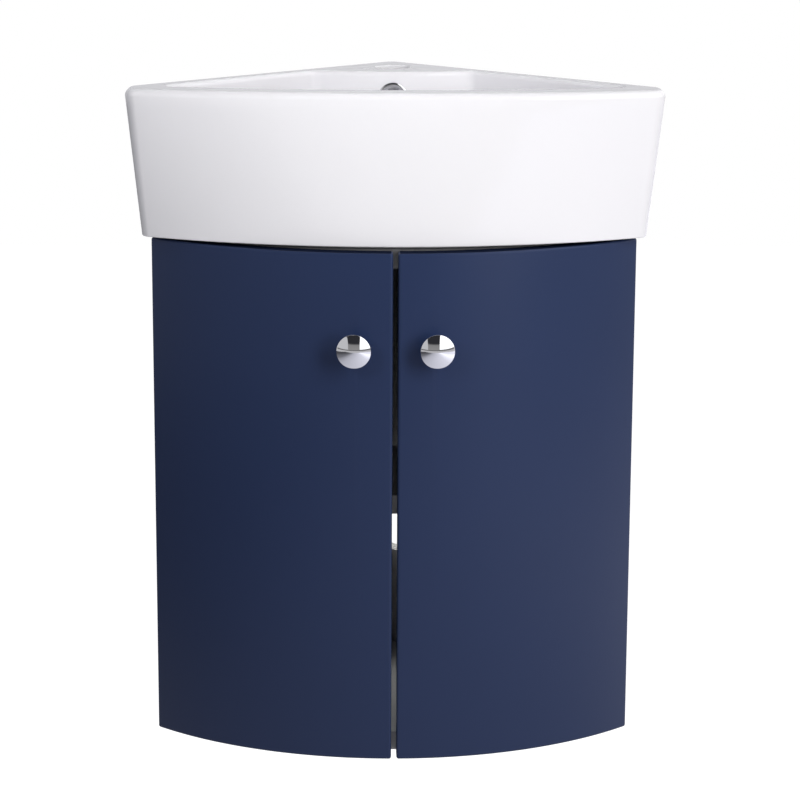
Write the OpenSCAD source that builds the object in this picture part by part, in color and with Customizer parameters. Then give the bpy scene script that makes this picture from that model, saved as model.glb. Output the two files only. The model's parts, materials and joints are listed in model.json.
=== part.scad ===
// Corner vanity unit: a quarter-round cabinet with two curved doors under a glazed basin.
// Millimetres. The two walls of the room meet on the z axis and run towards -y at 45 degrees,
// the front faces -y, and z = 0 is the level of the doors' lower edges.

/* [Cabinet] */
// Outer radius of the closed doors, measured from the corner of the room
door_radius = 332.5; // [320:0.5:400]
// Height of the doors
door_height = 488; // [440:1:600]
// Thickness of the doors
door_thickness = 18; // [16:0.5:20]
// Rounding of the doors' front edges
door_round = 2.5; // [1:0.25:4]
// Gap between the backs of the doors and the carcass
door_gap = 2; // [1.5:0.1:3]
// Gap between the two closed doors
centre_gap = 5; // [3:0.5:8]
// Gap between the outer edge of a door and its wall
wall_gap = 6; // [5:0.5:8]
// Thickness of the carcass boards
board = 18; // [16:0.5:19]
// Height of the underside of the carcass above the doors' lower edges
carcass_lift = 3; // [0:0.5:6]
// Gap between the tops of the doors and the underside of the sealant
door_top_gap = 1; // [0.5:0.5:5]
// Width of the border that the top board keeps round its opening
top_border = 52; // [45:1:70]
// Rounding of the inner corners of the openings cut in the boards
cut_round = 16; // [10:1:24]

/* [Pipe opening] */
// Height of the lower edge of the opening for the pipes
pipe_sill = 122; // [100:1:150]
// Height of the opening for the pipes
pipe_height = 100; // [70:1:105]
// Reach of the opening for the pipes along each wall
pipe_reach = 95; // [70:1:130]

/* [Shelf] */
// Height of the underside of the shelf
shelf_level = 236; // [230:1:280]
// Distance from the carcass front to the front edge of the shelf
shelf_setback = 3; // [1:0.5:20]
// Clearance between the shelf and the side panels
shelf_clearance = 1; // [0.5:0.5:3]
// Radius of the notch for the pipes in the rear corner of the shelf
shelf_notch = 85; // [60:1:110]
// Diameter of the shelf pins
pin_d = 5; // [4:0.5:6]
// Length of a shelf pin inside its hole
pin_depth = 9; // [6:0.5:11]
// Length of the head of a shelf pin under the shelf
pin_reach = 8; // [5:0.5:12]

/* [Basin] */
// Overall width of the basin at its rim
basin_width = 500; // [490:1:530]
// Overall height of the basin
basin_height = 141.5; // [130:0.5:160]
// Distance from the corner of the room to the middle of the front at the rim
basin_front = 316; // [308:1:335]
// Radius of the front of the rim in plan
rim_front_radius = 900; // [700:10:1200]
// Distance from the corner of the room to the middle of the front at the foot
foot_front = 316.5; // [302:0.5:325]
// Radius of the front of the foot in plan
foot_front_radius = 490; // [430:5:700]
// Width of the foot of the basin
foot_width = 476; // [462:1:484]
// Radius of the upright corners of the basin
tip_round = 14; // [8:1:18]
// Rounding of the upper edge of the basin
rim_round = 7; // [4:0.5:9]
// Rounding of the lower edge of the basin
foot_round = 3.5; // [2:0.5:7]
// Thickness of the ceramic walls
clay = 11; // [9:0.5:13]
// Thickness of the tap deck
deck = 14; // [12:0.5:18]
// Width of the rim along the walls
rim_side = 19; // [16:0.5:24]
// Width of the rim at the front
rim_front = 34; // [28:1:42]
// Distance from the side of the basin to the tip of the bowl
bowl_tip = 38; // [30:1:50]
// Depth of the bowl
bowl_depth = 107; // [90:1:110]
// Radius of the upright corners of the bowl
bowl_round = 12; // [8:1:16]
// Distance from the corner of the room to the front of the tap deck
deck_front = 118; // [112:1:126]
// Radius of the front of the tap deck in plan
deck_radius = 215; // [180:5:260]
// Thickness of the sealant under the basin
seal = 2; // [0.6:0.1:3]

/* [Taps and waste] */
// Diameter of the tap hole
tap_d = 35; // [30:0.5:38]
// Distance from the corner of the room to the tap hole
tap_back = 66; // [60:1:72]
// Diameter of the waste hole
waste_d = 45; // [40:0.5:48]
// Distance from the corner of the room to the waste hole
waste_back = 198; // [185:1:210]
// Diameter of the recess for the flange of the waste
waste_flange_d = 66; // [60:1:72]
// Diameter of the overflow hole
overflow_d = 23; // [18:0.5:25]
// Depth of the overflow hole's centre below the rim
overflow_drop = 26; // [24:1:36]
// Diameter of the overflow channel inside the wall
channel_d = 11; // [8:0.5:13]
// Outer diameter of the overflow ring
ring_d = 31; // [28:0.5:36]

/* [Knobs] */
// Diameter of a knob
knob_d = 32; // [24:0.5:36]
// Distance that a knob stands out from its door
knob_reach = 26; // [20:0.5:34]
// Distance from the doors' upper edges down to the knobs
knob_drop = 88; // [60:1:150]
// Distance from the inner edge of a door to its knob
knob_inset = 34; // [25:1:60]

/* [Hinges] */
// Distance from each end of a door to its hinge
hinge_inset = 78; // [70:1:110]
// Diameter of a hinge cup
cup_d = 35; // [34:0.5:36]
// Depth of a hinge cup in the door
cup_depth = 11.5; // [10.5:0.5:12.5]
// Distance from the outer edge of the door to the edge of the hinge cup
cup_edge = 5; // [4.5:0.5:6]
// Thickness of the pressed metal of the hinges
hinge_metal = 1.5; // [1.2:0.1:1.8]
// Distance from the front of a side panel to the hinge arm's pin
arm_pin_setback = 8; // [7.5:0.25:10]
// Distance from the side panel to the hinge arm's pin
arm_pin_height = 30; // [28:0.5:32]
// Depth of the cup's pin below the back of the door
cup_pin_depth = 2.5; // [2:0.25:3]
// Distance from the axis of the cup to its pin, towards the door's outer edge
cup_pin_offset = 8.5; // [7.5:0.5:9]
// Diameter of the hinge pins
hinge_pin_d = 3; // [2.5:0.25:3.5]
// Radial clearance of a link on its pins
pin_clearance = 0.06; // [0.02:0.01:0.1]
// Distance from the front of a side panel to the screws of the mounting plate
plate_setback = 37; // [34:1:42]
// Height of the mounting plate's block above the side panel
plate_rise = 7; // [6:0.5:9]

/* [Wall fixing] */
// Diameter of the wall-fixing holes
fixing_d = 9; // [7:0.5:11]
// Distance from the corner of the room to the nearer wall-fixing hole
fixing_start = 80; // [60:1:95]
// Distance between the two wall-fixing holes on a side
fixing_pitch = 110; // [80:1:125]
// Distance from the top board down to the wall-fixing holes
fixing_drop = 29; // [24:1:45]
// Thickness of the steel hanging plates
fixing_steel = 2.5; // [2:0.5:4]

/* [Hidden] */
$fn = 64;

// Overlap of a cutting solid past the face that it cuts
cut = 1;
// Thickness of the slices that a hull joins
slice = 0.01;
// Clearance of a screw or pin that is fixed in its hole
fixed_fit = 0.03;

// Cabinet
door_back = door_radius - door_thickness;
carcass_radius = door_back - door_gap;
carcass_top = door_height + door_top_gap;
panel_length = sqrt(pow(carcass_radius, 2) - pow(board, 2));
bottom_level = carcass_lift + board / 2;
top_level = carcass_top - board / 2;
door_start = asin(wall_gap / door_radius);
door_end = 45 - asin(centre_gap / 2 / door_radius);
arc_fn = 360;
outline_fn = 240;
corner_fn = 40;

// Shelf pins stand clear of the notch and of the shelf's front edge
pin_notch_margin = 22;
pin_front_margin = 45;
pin_near = board + shelf_notch + pin_notch_margin;
pin_far = carcass_radius - shelf_setback - pin_front_margin;
pin_tab = 8;
pin_tab_metal = 1.5;
pin_hole_depth = pin_depth + 0.5;

// Screws that hold the carcass together
carcass_screw_d = 5;
carcass_screw_head_d = 9;
carcass_screw_head = 2;
carcass_screw_length = 45;
carcass_screw_hex = 4;
carcass_screw_near = 60;
carcass_screw_far = 230;
// Distance of the rear screws from the carcass's ends and from the shelf
rear_screw_margin = 60;
rear_screw_levels = [carcass_lift + rear_screw_margin, shelf_level + rear_screw_margin,
    carcass_top - rear_screw_margin];

// Small screws of the fittings
small_screw_d = 3.8;
small_screw_head_d = 7;
small_screw_head = 1.8;
small_screw_length = 13;
small_screw_slot = 0.8;
small_screw_slot_depth = 0.9;
// Width and depth of the cross slots in the larger screws' heads
drive_slot = 1;
drive_depth = 1.2;

// Wall fixing
fixing_level = carcass_top - board - fixing_drop;
fixing_holes = [fixing_start, fixing_start + fixing_pitch];
plate_end = 20;
plate_half = 14;
plate_screw_offset = 30;

// Basin
basin_base = carcass_top + seal;
rim_level = basin_base + basin_height;
deck_underside = rim_level - deck;
bowl_floor = rim_level - bowl_depth;
wedge_reach = 600;
deck_centre = deck_radius - deck_front;
side_line = rim_side * sqrt(2);
deck_meet = (sqrt(2 * pow(deck_radius, 2) - pow(side_line + deck_centre, 2))
    - side_line - deck_centre) / 2;
bowl_half = basin_width / 2 - bowl_tip;
// The bowl's walls: how deep each step lies, as a share of the bowl's depth, and how far it
// is drawn in from the rim
bowl_steps = [[0.62, 5], [0.82, 13], [0.94, 26]];
bowl_floor_inset = 42;
rim_flare = 2.2;
// The walls are a little thicker at the foot and thicker still under the deck
foot_wall = clay + 0.4;
hollow_top_inset = 1.6 * clay;
seal_spread = 1;
seal_setback = 4;
waste_boss_level = basin_base + 5;
waste_recess = 2.5;
channel_step = 3;
channel_level = waste_boss_level + (channel_d + clay + channel_step) / 2 + 1;
channel_back = deck_front - clay - channel_d / 2 + 1;
overflow_level = rim_level - overflow_drop;
ring_lip = 2;
ring_barrel = 10;
ring_wall = 1.5;
ring_seat = 0.7;

// Soft stops behind the doors: the inset is an angle from the door's inner edge
buffer_d = 8;
buffer_top_d = 6;
buffer_clearance = 0.35;
buffer_inset = 2;

// Knobs
knob_angle = door_end - knob_inset / door_radius * 180 / PI;
knob_level = door_height - knob_drop;
knob_screw_d = 4;
knob_screw_head_d = 8;
knob_screw_head = 2.2;
knob_screw_bite = 9;
knob_lip = 1.2;
// How far the neck's curve starts inside and above the back of the lip
knob_lip_tuck = [0.7, 0.2];
knob_foot_height = 1.2;
knob_neck_start = 3;
knob_neck = 5;
knob_cap_share = 0.24;
knob_stem_share = 0.19;
knob_foot_share = 0.3;

// Hinges, in the plane whose x axis runs along the wall and whose y axis leaves it
upper_hinge = door_height - hinge_inset;
lower_hinge = hinge_inset;
cup_angle = door_start + (cup_edge + cup_d / 2) / door_back * 180 / PI;
cup_axis = [cos(cup_angle), sin(cup_angle)];
cup_side = [-sin(cup_angle), cos(cup_angle)];
cup_pin = (door_back + cup_pin_depth) * cup_axis - cup_pin_offset * cup_side;
arm_pin = [panel_length - arm_pin_setback, board + arm_pin_height];
link_half = 6.5;
cheek_half = link_half + 0.4;
link_eye = hinge_pin_d / 2 + 1.9;
link_bar = 3;
arm_eye = hinge_pin_d / 2 + 2.8;
plate_x = panel_length - plate_setback;
block_back = 20;
block_front = 16;
block_half = cheek_half - 0.3;
arm_back = block_back + 2;
arm_front = block_front + 2;
arm_neck = 12;
arm_bridge_gap = 6;
arm_screw_back = 13;
arm_screw_front = 9;
arm_screw_d = 4;
arm_screw_head_d = 7.5;
arm_screw_head = 2;
plate_wing_half = 23;
plate_wing_width = 11;
plate_wing_corner = plate_wing_width / 2 - 0.5;
plate_wing_metal = 2.2;
arm_foot_clearance = 0.3;
arm_foot = plate_wing_metal + arm_foot_clearance;
plate_screw_pitch = 32;
flange_metal = 1;
flange_wing_half = 28;
flange_wing_width = 15;
flange_rim = 1.2;
cup_screw_pitch = 48;
cup_screw_side = 4;
pin_head = 0.7;
pin_head_d = hinge_pin_d + 1.6;
notch_depth = 3;
lug_spare = 5;
lug_margin = 1;
flange_corner = 4;

// Puts the room's corner frame in place: x along the left wall, y along the right wall
module corner_frame() {
    rotate([0, 0, -135]) children();
}

// Places a child that is drawn for the left wall, or its mirror image for the right wall
module on_side(side) {
    corner_frame() {
        if (side == "left") children();
        else mirror([1, -1, 0]) children();
    }
}

// Turns the z axis to point away from the wall of the left side
module into_room() {
    rotate([-90, 0, 0]) children();
}

// Frame on a door's curved face: x outwards, y towards the door's inner edge
module on_door(side, angle, radius, level) {
    on_side(side) rotate([0, 0, angle]) translate([radius, 0, level]) children();
}

// ---- Carcass ----

module wedge(radius, start) {
    intersection() {
        translate([start, start]) square(radius);
        circle(radius, $fn = arc_fn);
    }
}

// Rectangle with round corners, made of true arcs
module round_rect(size, corner) {
    translate([corner, 0]) square([size[0] - 2 * corner, size[1]]);
    translate([0, corner]) square([size[0], size[1] - 2 * corner]);
    for (x = [corner, size[0] - corner], y = [corner, size[1] - corner])
        translate([x, y]) circle(corner);
}

module pipe_cut() {
    translate([0, board + cut, 0]) rotate([90, 0, 0]) linear_extrude(board + 2 * cut)
        translate([-pipe_reach, pipe_sill]) round_rect([2 * pipe_reach, pipe_height], cut_round);
}

// The screws that enter the ends of the two boards from a side panel
module at_board_screws() {
    for (x = [carcass_screw_near, carcass_screw_far], z = [bottom_level, top_level])
        translate([x, 0, z]) into_room() children();
}

// The screws that hold the right panel's rear end to the left panel
module at_rear_screws() {
    for (z = rear_screw_levels)
        translate([board / 2, 0, z]) into_room() children();
}

module carcass_screw() {
    difference() {
        union() {
            cylinder(d = carcass_screw_head_d, h = carcass_screw_head);
            cylinder(d = carcass_screw_d, h = carcass_screw_length);
        }
        translate([0, 0, -cut])
            cylinder(d = carcass_screw_hex, h = cut + carcass_screw_head, $fn = 6);
    }
}

module carcass_screw_hole() {
    translate([0, 0, -cut])
        cylinder(d = carcass_screw_head_d + 2 * fixed_fit, h = carcass_screw_head + cut);
    cylinder(d = carcass_screw_d + 2 * fixed_fit, h = carcass_screw_length + cut);
}

module at_shelf_pins() {
    for (x = [pin_near, pin_far])
        translate([x, board, shelf_level - pin_d / 2]) into_room() children();
}

module at_fixing_holes() {
    for (x = fixing_holes)
        translate([x, 0, fixing_level]) into_room() children();
}

module at_hanging_plate_screws() {
    for (x = [fixing_holes[0] + plate_screw_offset, fixing_holes[1] - plate_screw_offset])
        translate([x, board + fixing_steel, fixing_level]) into_room() children();
}

module at_hinge_plate_screws(level) {
    for (z = [-1, 1])
        translate([plate_x, board + plate_wing_metal, level + z * plate_screw_pitch / 2])
            into_room() children();
}

// A small countersunk screw that enters along -z from the face at z = 0
module small_screw() {
    difference() {
        union() {
            translate([0, 0, -small_screw_head])
                cylinder(d1 = small_screw_d, d2 = small_screw_head_d, h = small_screw_head);
            translate([0, 0, -small_screw_length])
                cylinder(d = small_screw_d, h = small_screw_length - small_screw_head);
        }
        for (turn = [0, 90]) rotate([0, 0, turn])
            translate([-small_screw_d / 2, -small_screw_slot / 2, -small_screw_slot_depth])
                cube([small_screw_d, small_screw_slot, small_screw_slot_depth + cut]);
    }
}

module small_screw_hole(depth) {
    cylinder(d = small_screw_head_d + 2 * fixed_fit, h = cut);
    translate([0, 0, -small_screw_head])
        cylinder(d1 = small_screw_d + 2 * fixed_fit, d2 = small_screw_head_d + 2 * fixed_fit,
            h = small_screw_head);
    translate([0, 0, -depth]) cylinder(d = small_screw_d + 2 * fixed_fit, h = depth);
}

module side_panel(side) {
    start = side == "left" ? 0 : board;
    color("whitesmoke") on_side(side) difference() {
        translate([start, 0, carcass_lift])
            cube([panel_length - start, board, carcass_top - carcass_lift]);
        pipe_cut();
        at_board_screws() carcass_screw_hole();
        if (side == "left") at_rear_screws() carcass_screw_hole();
        else rear_screw_pilots();
        at_shelf_pins() translate([0, 0, -pin_hole_depth])
            cylinder(d = pin_d + 2 * fixed_fit, h = pin_hole_depth + cut);
        at_fixing_holes() translate([0, 0, -cut]) cylinder(d = fixing_d, h = board + 2 * cut);
        at_hanging_plate_screws() small_screw_hole(small_screw_length + cut);
        for (level = [lower_hinge, upper_hinge])
            at_hinge_plate_screws(level) small_screw_hole(small_screw_length + cut);
    }
}

// The right panel's rear end takes the rear screws along its own length
module rear_screw_pilots() {
    for (z = rear_screw_levels)
        translate([0, board / 2, z]) rotate([0, 90, 0])
            cylinder(d = carcass_screw_d + 2 * fixed_fit, h = carcass_screw_length + cut);
}

module left_side_panel() { side_panel("left"); }
module right_side_panel() { side_panel("right"); }

module board_screw_pilots() {
    for (side = ["left", "right"]) on_side(side) at_board_screws() carcass_screw_hole();
}

module bottom_board() {
    color("whitesmoke") difference() {
        corner_frame() translate([0, 0, carcass_lift])
            linear_extrude(board) wedge(carcass_radius, board);
        board_screw_pilots();
    }
}

module top_board() {
    color("whitesmoke") difference() {
        corner_frame() translate([0, 0, carcass_top - board]) linear_extrude(board) difference() {
            wedge(carcass_radius, board);
            offset(r = cut_round) offset(delta = -cut_round)
                wedge(carcass_radius - top_border, board + top_border);
        }
        board_screw_pilots();
    }
}

module shelf() {
    color("whitesmoke") corner_frame() translate([0, 0, shelf_level]) linear_extrude(board)
        difference() {
            wedge(carcass_radius - shelf_setback, board + shelf_clearance);
            translate([board, board]) circle(shelf_notch, $fn = arc_fn);
        }
}

module shelf_pins() {
    color("silver") for (side = ["left", "right"]) on_side(side) at_shelf_pins() {
        translate([0, 0, -pin_depth]) cylinder(d = pin_d, h = pin_depth + pin_reach);
        translate([-pin_tab / 2, -pin_d / 2, 0]) cube([pin_tab, pin_tab_metal, pin_reach]);
    }
}

module panel_screws() {
    color("silver") {
        for (side = ["left", "right"]) on_side(side) at_board_screws() carcass_screw();
        on_side("left") at_rear_screws() carcass_screw();
    }
}

module hanging_plate(side) {
    length = fixing_pitch + 2 * plate_end;
    color("silver") on_side(side) difference() {
        translate([fixing_start - plate_end, board + fixing_steel, fixing_level - plate_half])
            rotate([90, 0, 0]) linear_extrude(fixing_steel)
                round_rect([length, 2 * plate_half], plate_half / 2);
        at_fixing_holes() cylinder(d = fixing_d, h = 2 * board);
        at_hanging_plate_screws() small_screw_hole(fixing_steel + cut);
    }
}

module left_hanging_plate() { hanging_plate("left"); }
module right_hanging_plate() { hanging_plate("right"); }

module hanging_plate_screws() {
    color("silver") for (side = ["left", "right"]) on_side(side)
        at_hanging_plate_screws() small_screw();
}

// ---- Doors ----

// Section of a door from its back to its face, with the two front edges rounded
module door_section() {
    face = door_radius - door_round;
    translate([door_back, 0]) square([face - door_back, door_height]);
    translate([door_back, door_round]) square([door_thickness, door_height - 2 * door_round]);
    for (z = [door_round, door_height - door_round]) translate([face, z]) circle(door_round);
}

// Plan of a ring's sector between two angles, seen from above
module ring_sector(inner, outer, start, end) {
    reach = 2 * outer;
    intersection() {
        difference() {
            circle(outer, $fn = arc_fn);
            circle(inner, $fn = arc_fn);
        }
        polygon([[0, 0], reach * [cos(start), sin(start)], reach * [cos(end), sin(end)]]);
    }
}

// Plan of a door, with its two upright front edges rounded
module door_plan() {
    face = door_radius - door_round;
    step = asin(door_round / face);
    ring_sector(door_back - cut, face, door_start, door_end);
    ring_sector(door_back, door_radius + cut, door_start + step, door_end - step);
    for (angle = [door_start + step, door_end - step])
        rotate(angle) translate([face, 0]) circle(door_round);
}

module door(side) {
    color([0.2, 0.24, 0.37]) difference() {
        on_side(side) intersection() {
            rotate_extrude($fn = arc_fn) door_section();
            translate([0, 0, -cut]) linear_extrude(door_height + 2 * cut) door_plan();
        }
        for (level = [lower_hinge, upper_hinge]) on_door(side, cup_angle, door_back, level) {
            rotate([0, 90, 0]) translate([0, 0, -cut])
                cylinder(d = cup_d + 2 * fixed_fit, h = cup_depth + 2 * fixed_fit + cut);
            translate([-cut - flange_metal, 0, 0]) flange(cut + flange_metal, fixed_fit);
            at_cup_screws() small_screw_hole(small_screw_length + fixed_fit);
        }
        on_door(side, knob_angle, door_back - cut, knob_level) rotate([0, 90, 0])
            cylinder(d = knob_screw_d + 4 * fixed_fit, h = door_thickness + 2 * cut);
    }
}

module left_door() { door("left"); }
module right_door() { door("right"); }

// How far a flat round end stands off the middle of a door's hollow back
function hollow_gap(d) = pow(d / 2, 2) / (2 * door_back);

// Round soft stops behind the inner edge of a door, level with the bottom and top boards
module door_buffers(side) {
    buffer_height = door_gap - buffer_clearance;
    buffer_foot = door_back - hollow_gap(buffer_d);
    color([0.85, 0.87, 0.9]) for (level = [bottom_level, top_level])
        on_door(side, door_end - buffer_inset, buffer_foot - buffer_height, level)
            rotate([0, 90, 0]) cylinder(d1 = buffer_top_d, d2 = buffer_d, h = buffer_height);
}

module left_door_buffers() { door_buffers("left"); }
module right_door_buffers() { door_buffers("right"); }

// ---- Knobs ----

// Half section of a knob: x is the radius and y the distance from the door. A domed cap with
// a round lip stands on a waisted stem.
module knob_section() {
    cap_height = knob_reach * knob_cap_share;
    cap_base = knob_reach - cap_height;
    cap_radius = (pow(knob_d / 2, 2) + pow(cap_height, 2)) / (2 * cap_height);
    stem = knob_d * knob_stem_share;
    foot = knob_d * knob_foot_share;
    lip_centre = knob_d / 2 - knob_lip;
    // The lip's circle touches the dome from inside
    lip_level = knob_reach - cap_radius + sqrt(pow(cap_radius - knob_lip, 2) - pow(lip_centre, 2));
    touch = lip_centre * cap_radius / (cap_radius - knob_lip);
    intersection() {
        translate([0, knob_reach - cap_radius]) circle(cap_radius, $fn = 180);
        translate([0, lip_level]) square([touch, knob_reach]);
    }
    translate([lip_centre, lip_level]) circle(knob_lip);
    polygon([
        [0, 0], [foot, 0], [foot, knob_foot_height], [stem, knob_neck_start],
        [stem, cap_base - knob_neck], [lip_centre - knob_lip_tuck[0], lip_level - knob_lip + knob_lip_tuck[1]],
        [lip_centre, lip_level], [0, lip_level]
    ]);
}

module knob(side) {
    color("silver") on_door(side, knob_angle, door_radius, knob_level) rotate([0, 90, 0]) difference() {
        rotate_extrude() intersection() {
            knob_section();
            square([knob_d, knob_reach]);
        }
        translate([0, 0, -cut])
            cylinder(d = knob_screw_d + 2 * fixed_fit, h = knob_screw_bite + 2 * cut);
    }
}

module left_knob() { knob("left"); }
module right_knob() { knob("right"); }

module knob_screw(side) {
    seat = door_back - hollow_gap(knob_screw_head_d);
    color("silver") on_door(side, knob_angle, seat, knob_level) rotate([0, 90, 0]) difference() {
        union() {
            translate([0, 0, -knob_screw_head]) cylinder(d = knob_screw_head_d, h = knob_screw_head);
            cylinder(d = knob_screw_d, h = door_thickness + knob_screw_bite);
        }
        for (turn = [0, 90]) rotate([0, 0, turn])
            translate([-knob_screw_d / 2, -drive_slot / 2, -knob_screw_head - cut])
                cube([knob_screw_d, drive_slot, cut + drive_depth]);
    }
}

module left_knob_screw() { knob_screw("left"); }
module right_knob_screw() { knob_screw("right"); }

// ---- Hinges ----

// Flat flange of a hinge cup, lying in the y-z plane and growing along x
module flange(thickness, grow) {
    wing = [flange_wing_width + 2 * grow, 2 * (flange_wing_half + grow)];
    rotate([90, 0, 90]) linear_extrude(thickness) {
        circle(cup_d / 2 + flange_rim + grow);
        translate([cup_screw_side - wing[0] / 2, -wing[1] / 2]) round_rect(wing, flange_corner);
    }
}

module at_cup_screws() {
    for (z = [-1, 1])
        translate([-flange_metal, cup_screw_side, z * cup_screw_pitch / 2])
            rotate([0, -90, 0]) children();
}

// Place of a cup's pin in the frame of its cup
module at_cup_pin() {
    translate([cup_pin_depth, -cup_pin_offset, 0]) children();
}

module hinge_cup(side, level) {
    inner = cup_d / 2 - hinge_metal;
    lug = cup_depth - hinge_metal;
    lug_start = -cup_pin_offset - link_eye - lug_margin;
    lug_middle = cheek_half + hinge_metal / 2;
    color("silver") on_door(side, cup_angle, door_back, level) difference() {
        union() {
            difference() {
                union() {
                    rotate([0, 90, 0]) cylinder(d = cup_d, h = cup_depth);
                    translate([-flange_metal, 0, 0]) flange(flange_metal, 0);
                }
                translate([-2 * flange_metal, 0, 0]) rotate([0, 90, 0])
                    cylinder(r = inner, h = lug + 2 * flange_metal);
            }
            for (z = [-1, 1]) intersection() {
                translate([0, lug_start, z * lug_middle - hinge_metal / 2])
                    cube([lug + hinge_metal / 2, 2 * link_eye + lug_spare, hinge_metal]);
                rotate([0, 90, 0]) cylinder(r = inner + hinge_metal / 2, h = cup_depth);
            }
        }
        at_cup_pin() cylinder(d = hinge_pin_d + 2 * fixed_fit, h = cup_d, center = true);
        translate([-2 * flange_metal, -cup_d, -cheek_half])
            cube([notch_depth + 2 * flange_metal, cup_d - cup_pin_offset, 2 * cheek_half]);
        at_cup_screws() small_screw_hole(2 * flange_metal);
    }
}

module upper_left_hinge_cup() { hinge_cup("left", upper_hinge); }
module lower_left_hinge_cup() { hinge_cup("left", lower_hinge); }
module upper_right_hinge_cup() { hinge_cup("right", upper_hinge); }
module lower_right_hinge_cup() { hinge_cup("right", lower_hinge); }

module cup_pins(side) {
    length = 2 * (cheek_half + hinge_metal);
    color("gray") for (level = [lower_hinge, upper_hinge])
        on_door(side, cup_angle, door_back, level) at_cup_pin()
            cylinder(d = hinge_pin_d, h = length, center = true);
}

module left_cup_pins() { cup_pins("left"); }
module right_cup_pins() { cup_pins("right"); }

module cup_screws(side) {
    color("silver") for (level = [lower_hinge, upper_hinge])
        on_door(side, cup_angle, door_back, level) at_cup_screws() small_screw();
}

module left_cup_screws() { cup_screws("left"); }
module right_cup_screws() { cup_screws("right"); }

// A straight bar with a round eye at each end, between two points of the plane
module link_outline(from, to, eye, bar) {
    span = to - from;
    for (end = [from, to]) translate(end) circle(eye);
    translate(from) rotate(atan2(span[1], span[0])) translate([0, -bar / 2]) square([norm(span), bar]);
}

module hinge_link(side, level) {
    color("silver") on_side(side) translate([0, 0, level - link_half])
        linear_extrude(2 * link_half) difference() {
            link_outline(arm_pin, cup_pin, link_eye, link_bar);
            for (end = [arm_pin, cup_pin]) translate(end) circle(hinge_pin_d / 2 + pin_clearance);
        }
}

module upper_left_hinge_link() { hinge_link("left", upper_hinge); }
module lower_left_hinge_link() { hinge_link("left", lower_hinge); }
module upper_right_hinge_link() { hinge_link("right", upper_hinge); }
module lower_right_hinge_link() { hinge_link("right", lower_hinge); }

// One cheek of a hinge arm: a foot along the plate's block and a nose that carries the pin
module arm_cheek() {
    heel = [plate_x + arm_front, board + plate_rise];
    reach = arm_pin - heel;
    lean = atan2(reach[1], reach[0]);
    across = arm_eye * [sin(lean), -cos(lean)];
    top = board + plate_rise + hinge_metal;
    difference() {
        union() {
            polygon([
                [plate_x - arm_back, board + arm_foot], [plate_x + arm_front, board + arm_foot],
                arm_pin + across, arm_pin - across,
                [plate_x + arm_front - arm_neck, top], [plate_x - arm_back, top]
            ]);
            translate(arm_pin) circle(arm_eye);
        }
        translate(arm_pin) circle(hinge_pin_d / 2 + fixed_fit);
    }
}

module at_arm_screws(level) {
    for (x = [-arm_screw_back, arm_screw_front])
        translate([plate_x + x, board + plate_rise + hinge_metal, level]) into_room() children();
}

module arm_screw_hole() {
    translate([0, 0, -plate_rise])
        cylinder(d = arm_screw_d + 2 * fixed_fit, h = plate_rise + 2 * cut);
}

module hinge_arm(side, level) {
    color("silver") on_side(side) difference() {
        union() {
            for (z = [-1, 1])
                translate([0, 0, level + z * (cheek_half + hinge_metal / 2) - hinge_metal / 2])
                    linear_extrude(hinge_metal) arm_cheek();
            translate([plate_x - arm_back, board + plate_rise, level - cheek_half - hinge_metal / 2])
                cube([arm_back + arm_front - arm_bridge_gap, hinge_metal, 2 * cheek_half + hinge_metal]);
        }
        at_arm_screws(level) arm_screw_hole();
    }
}

module upper_left_hinge_arm() { hinge_arm("left", upper_hinge); }
module lower_left_hinge_arm() { hinge_arm("left", lower_hinge); }
module upper_right_hinge_arm() { hinge_arm("right", upper_hinge); }
module lower_right_hinge_arm() { hinge_arm("right", lower_hinge); }

module hinge_plate(side, level) {
    color("silver") on_side(side) difference() {
        union() {
            translate([plate_x - plate_wing_width / 2, board + plate_wing_metal, level])
                translate([0, 0, -plate_wing_half]) rotate([90, 0, 0]) linear_extrude(plate_wing_metal)
                    round_rect([plate_wing_width, 2 * plate_wing_half], plate_wing_corner);
            translate([plate_x - block_back, board, level - block_half])
                cube([block_back + block_front, plate_rise, 2 * block_half]);
        }
        at_hinge_plate_screws(level) small_screw_hole(plate_wing_metal + cut);
        at_arm_screws(level) arm_screw_hole();
    }
}

module upper_left_hinge_plate() { hinge_plate("left", upper_hinge); }
module lower_left_hinge_plate() { hinge_plate("left", lower_hinge); }
module upper_right_hinge_plate() { hinge_plate("right", upper_hinge); }
module lower_right_hinge_plate() { hinge_plate("right", lower_hinge); }

// Runs its children once for each of the four hinges
module at_hinges() {
    for (side = ["left", "right"], level = [lower_hinge, upper_hinge])
        on_side(side) translate([0, 0, level]) children();
}

module arm_pins() {
    half = cheek_half + hinge_metal;
    color("gray") at_hinges() translate([arm_pin[0], arm_pin[1], 0]) {
        cylinder(d = hinge_pin_d, h = 2 * half, center = true);
        for (z = [-half - pin_head, half]) translate([0, 0, z])
            cylinder(d = pin_head_d, h = pin_head);
    }
}

module hinge_plate_screws() {
    color("silver") at_hinges() at_hinge_plate_screws(0) small_screw();
}

module hinge_arm_screws() {
    color("silver") at_hinges() at_arm_screws(0) difference() {
        union() {
            translate([0, 0, -plate_rise]) cylinder(d = arm_screw_d, h = plate_rise);
            cylinder(d = arm_screw_head_d, h = arm_screw_head);
        }
        for (turn = [0, 90]) rotate([0, 0, turn])
            translate([-arm_screw_d / 2, -drive_slot / 2, arm_screw_head - drive_depth])
                cube([arm_screw_d, drive_slot, drive_depth + cut]);
    }
}

// ---- Basin ----

// The floor of the room's corner, drawn back from both walls by a distance
module room_wedge(inset) {
    tip = -inset * sqrt(2);
    polygon([[0, tip], [wedge_reach, tip - wedge_reach], [-wedge_reach, tip - wedge_reach]]);
}

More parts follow.
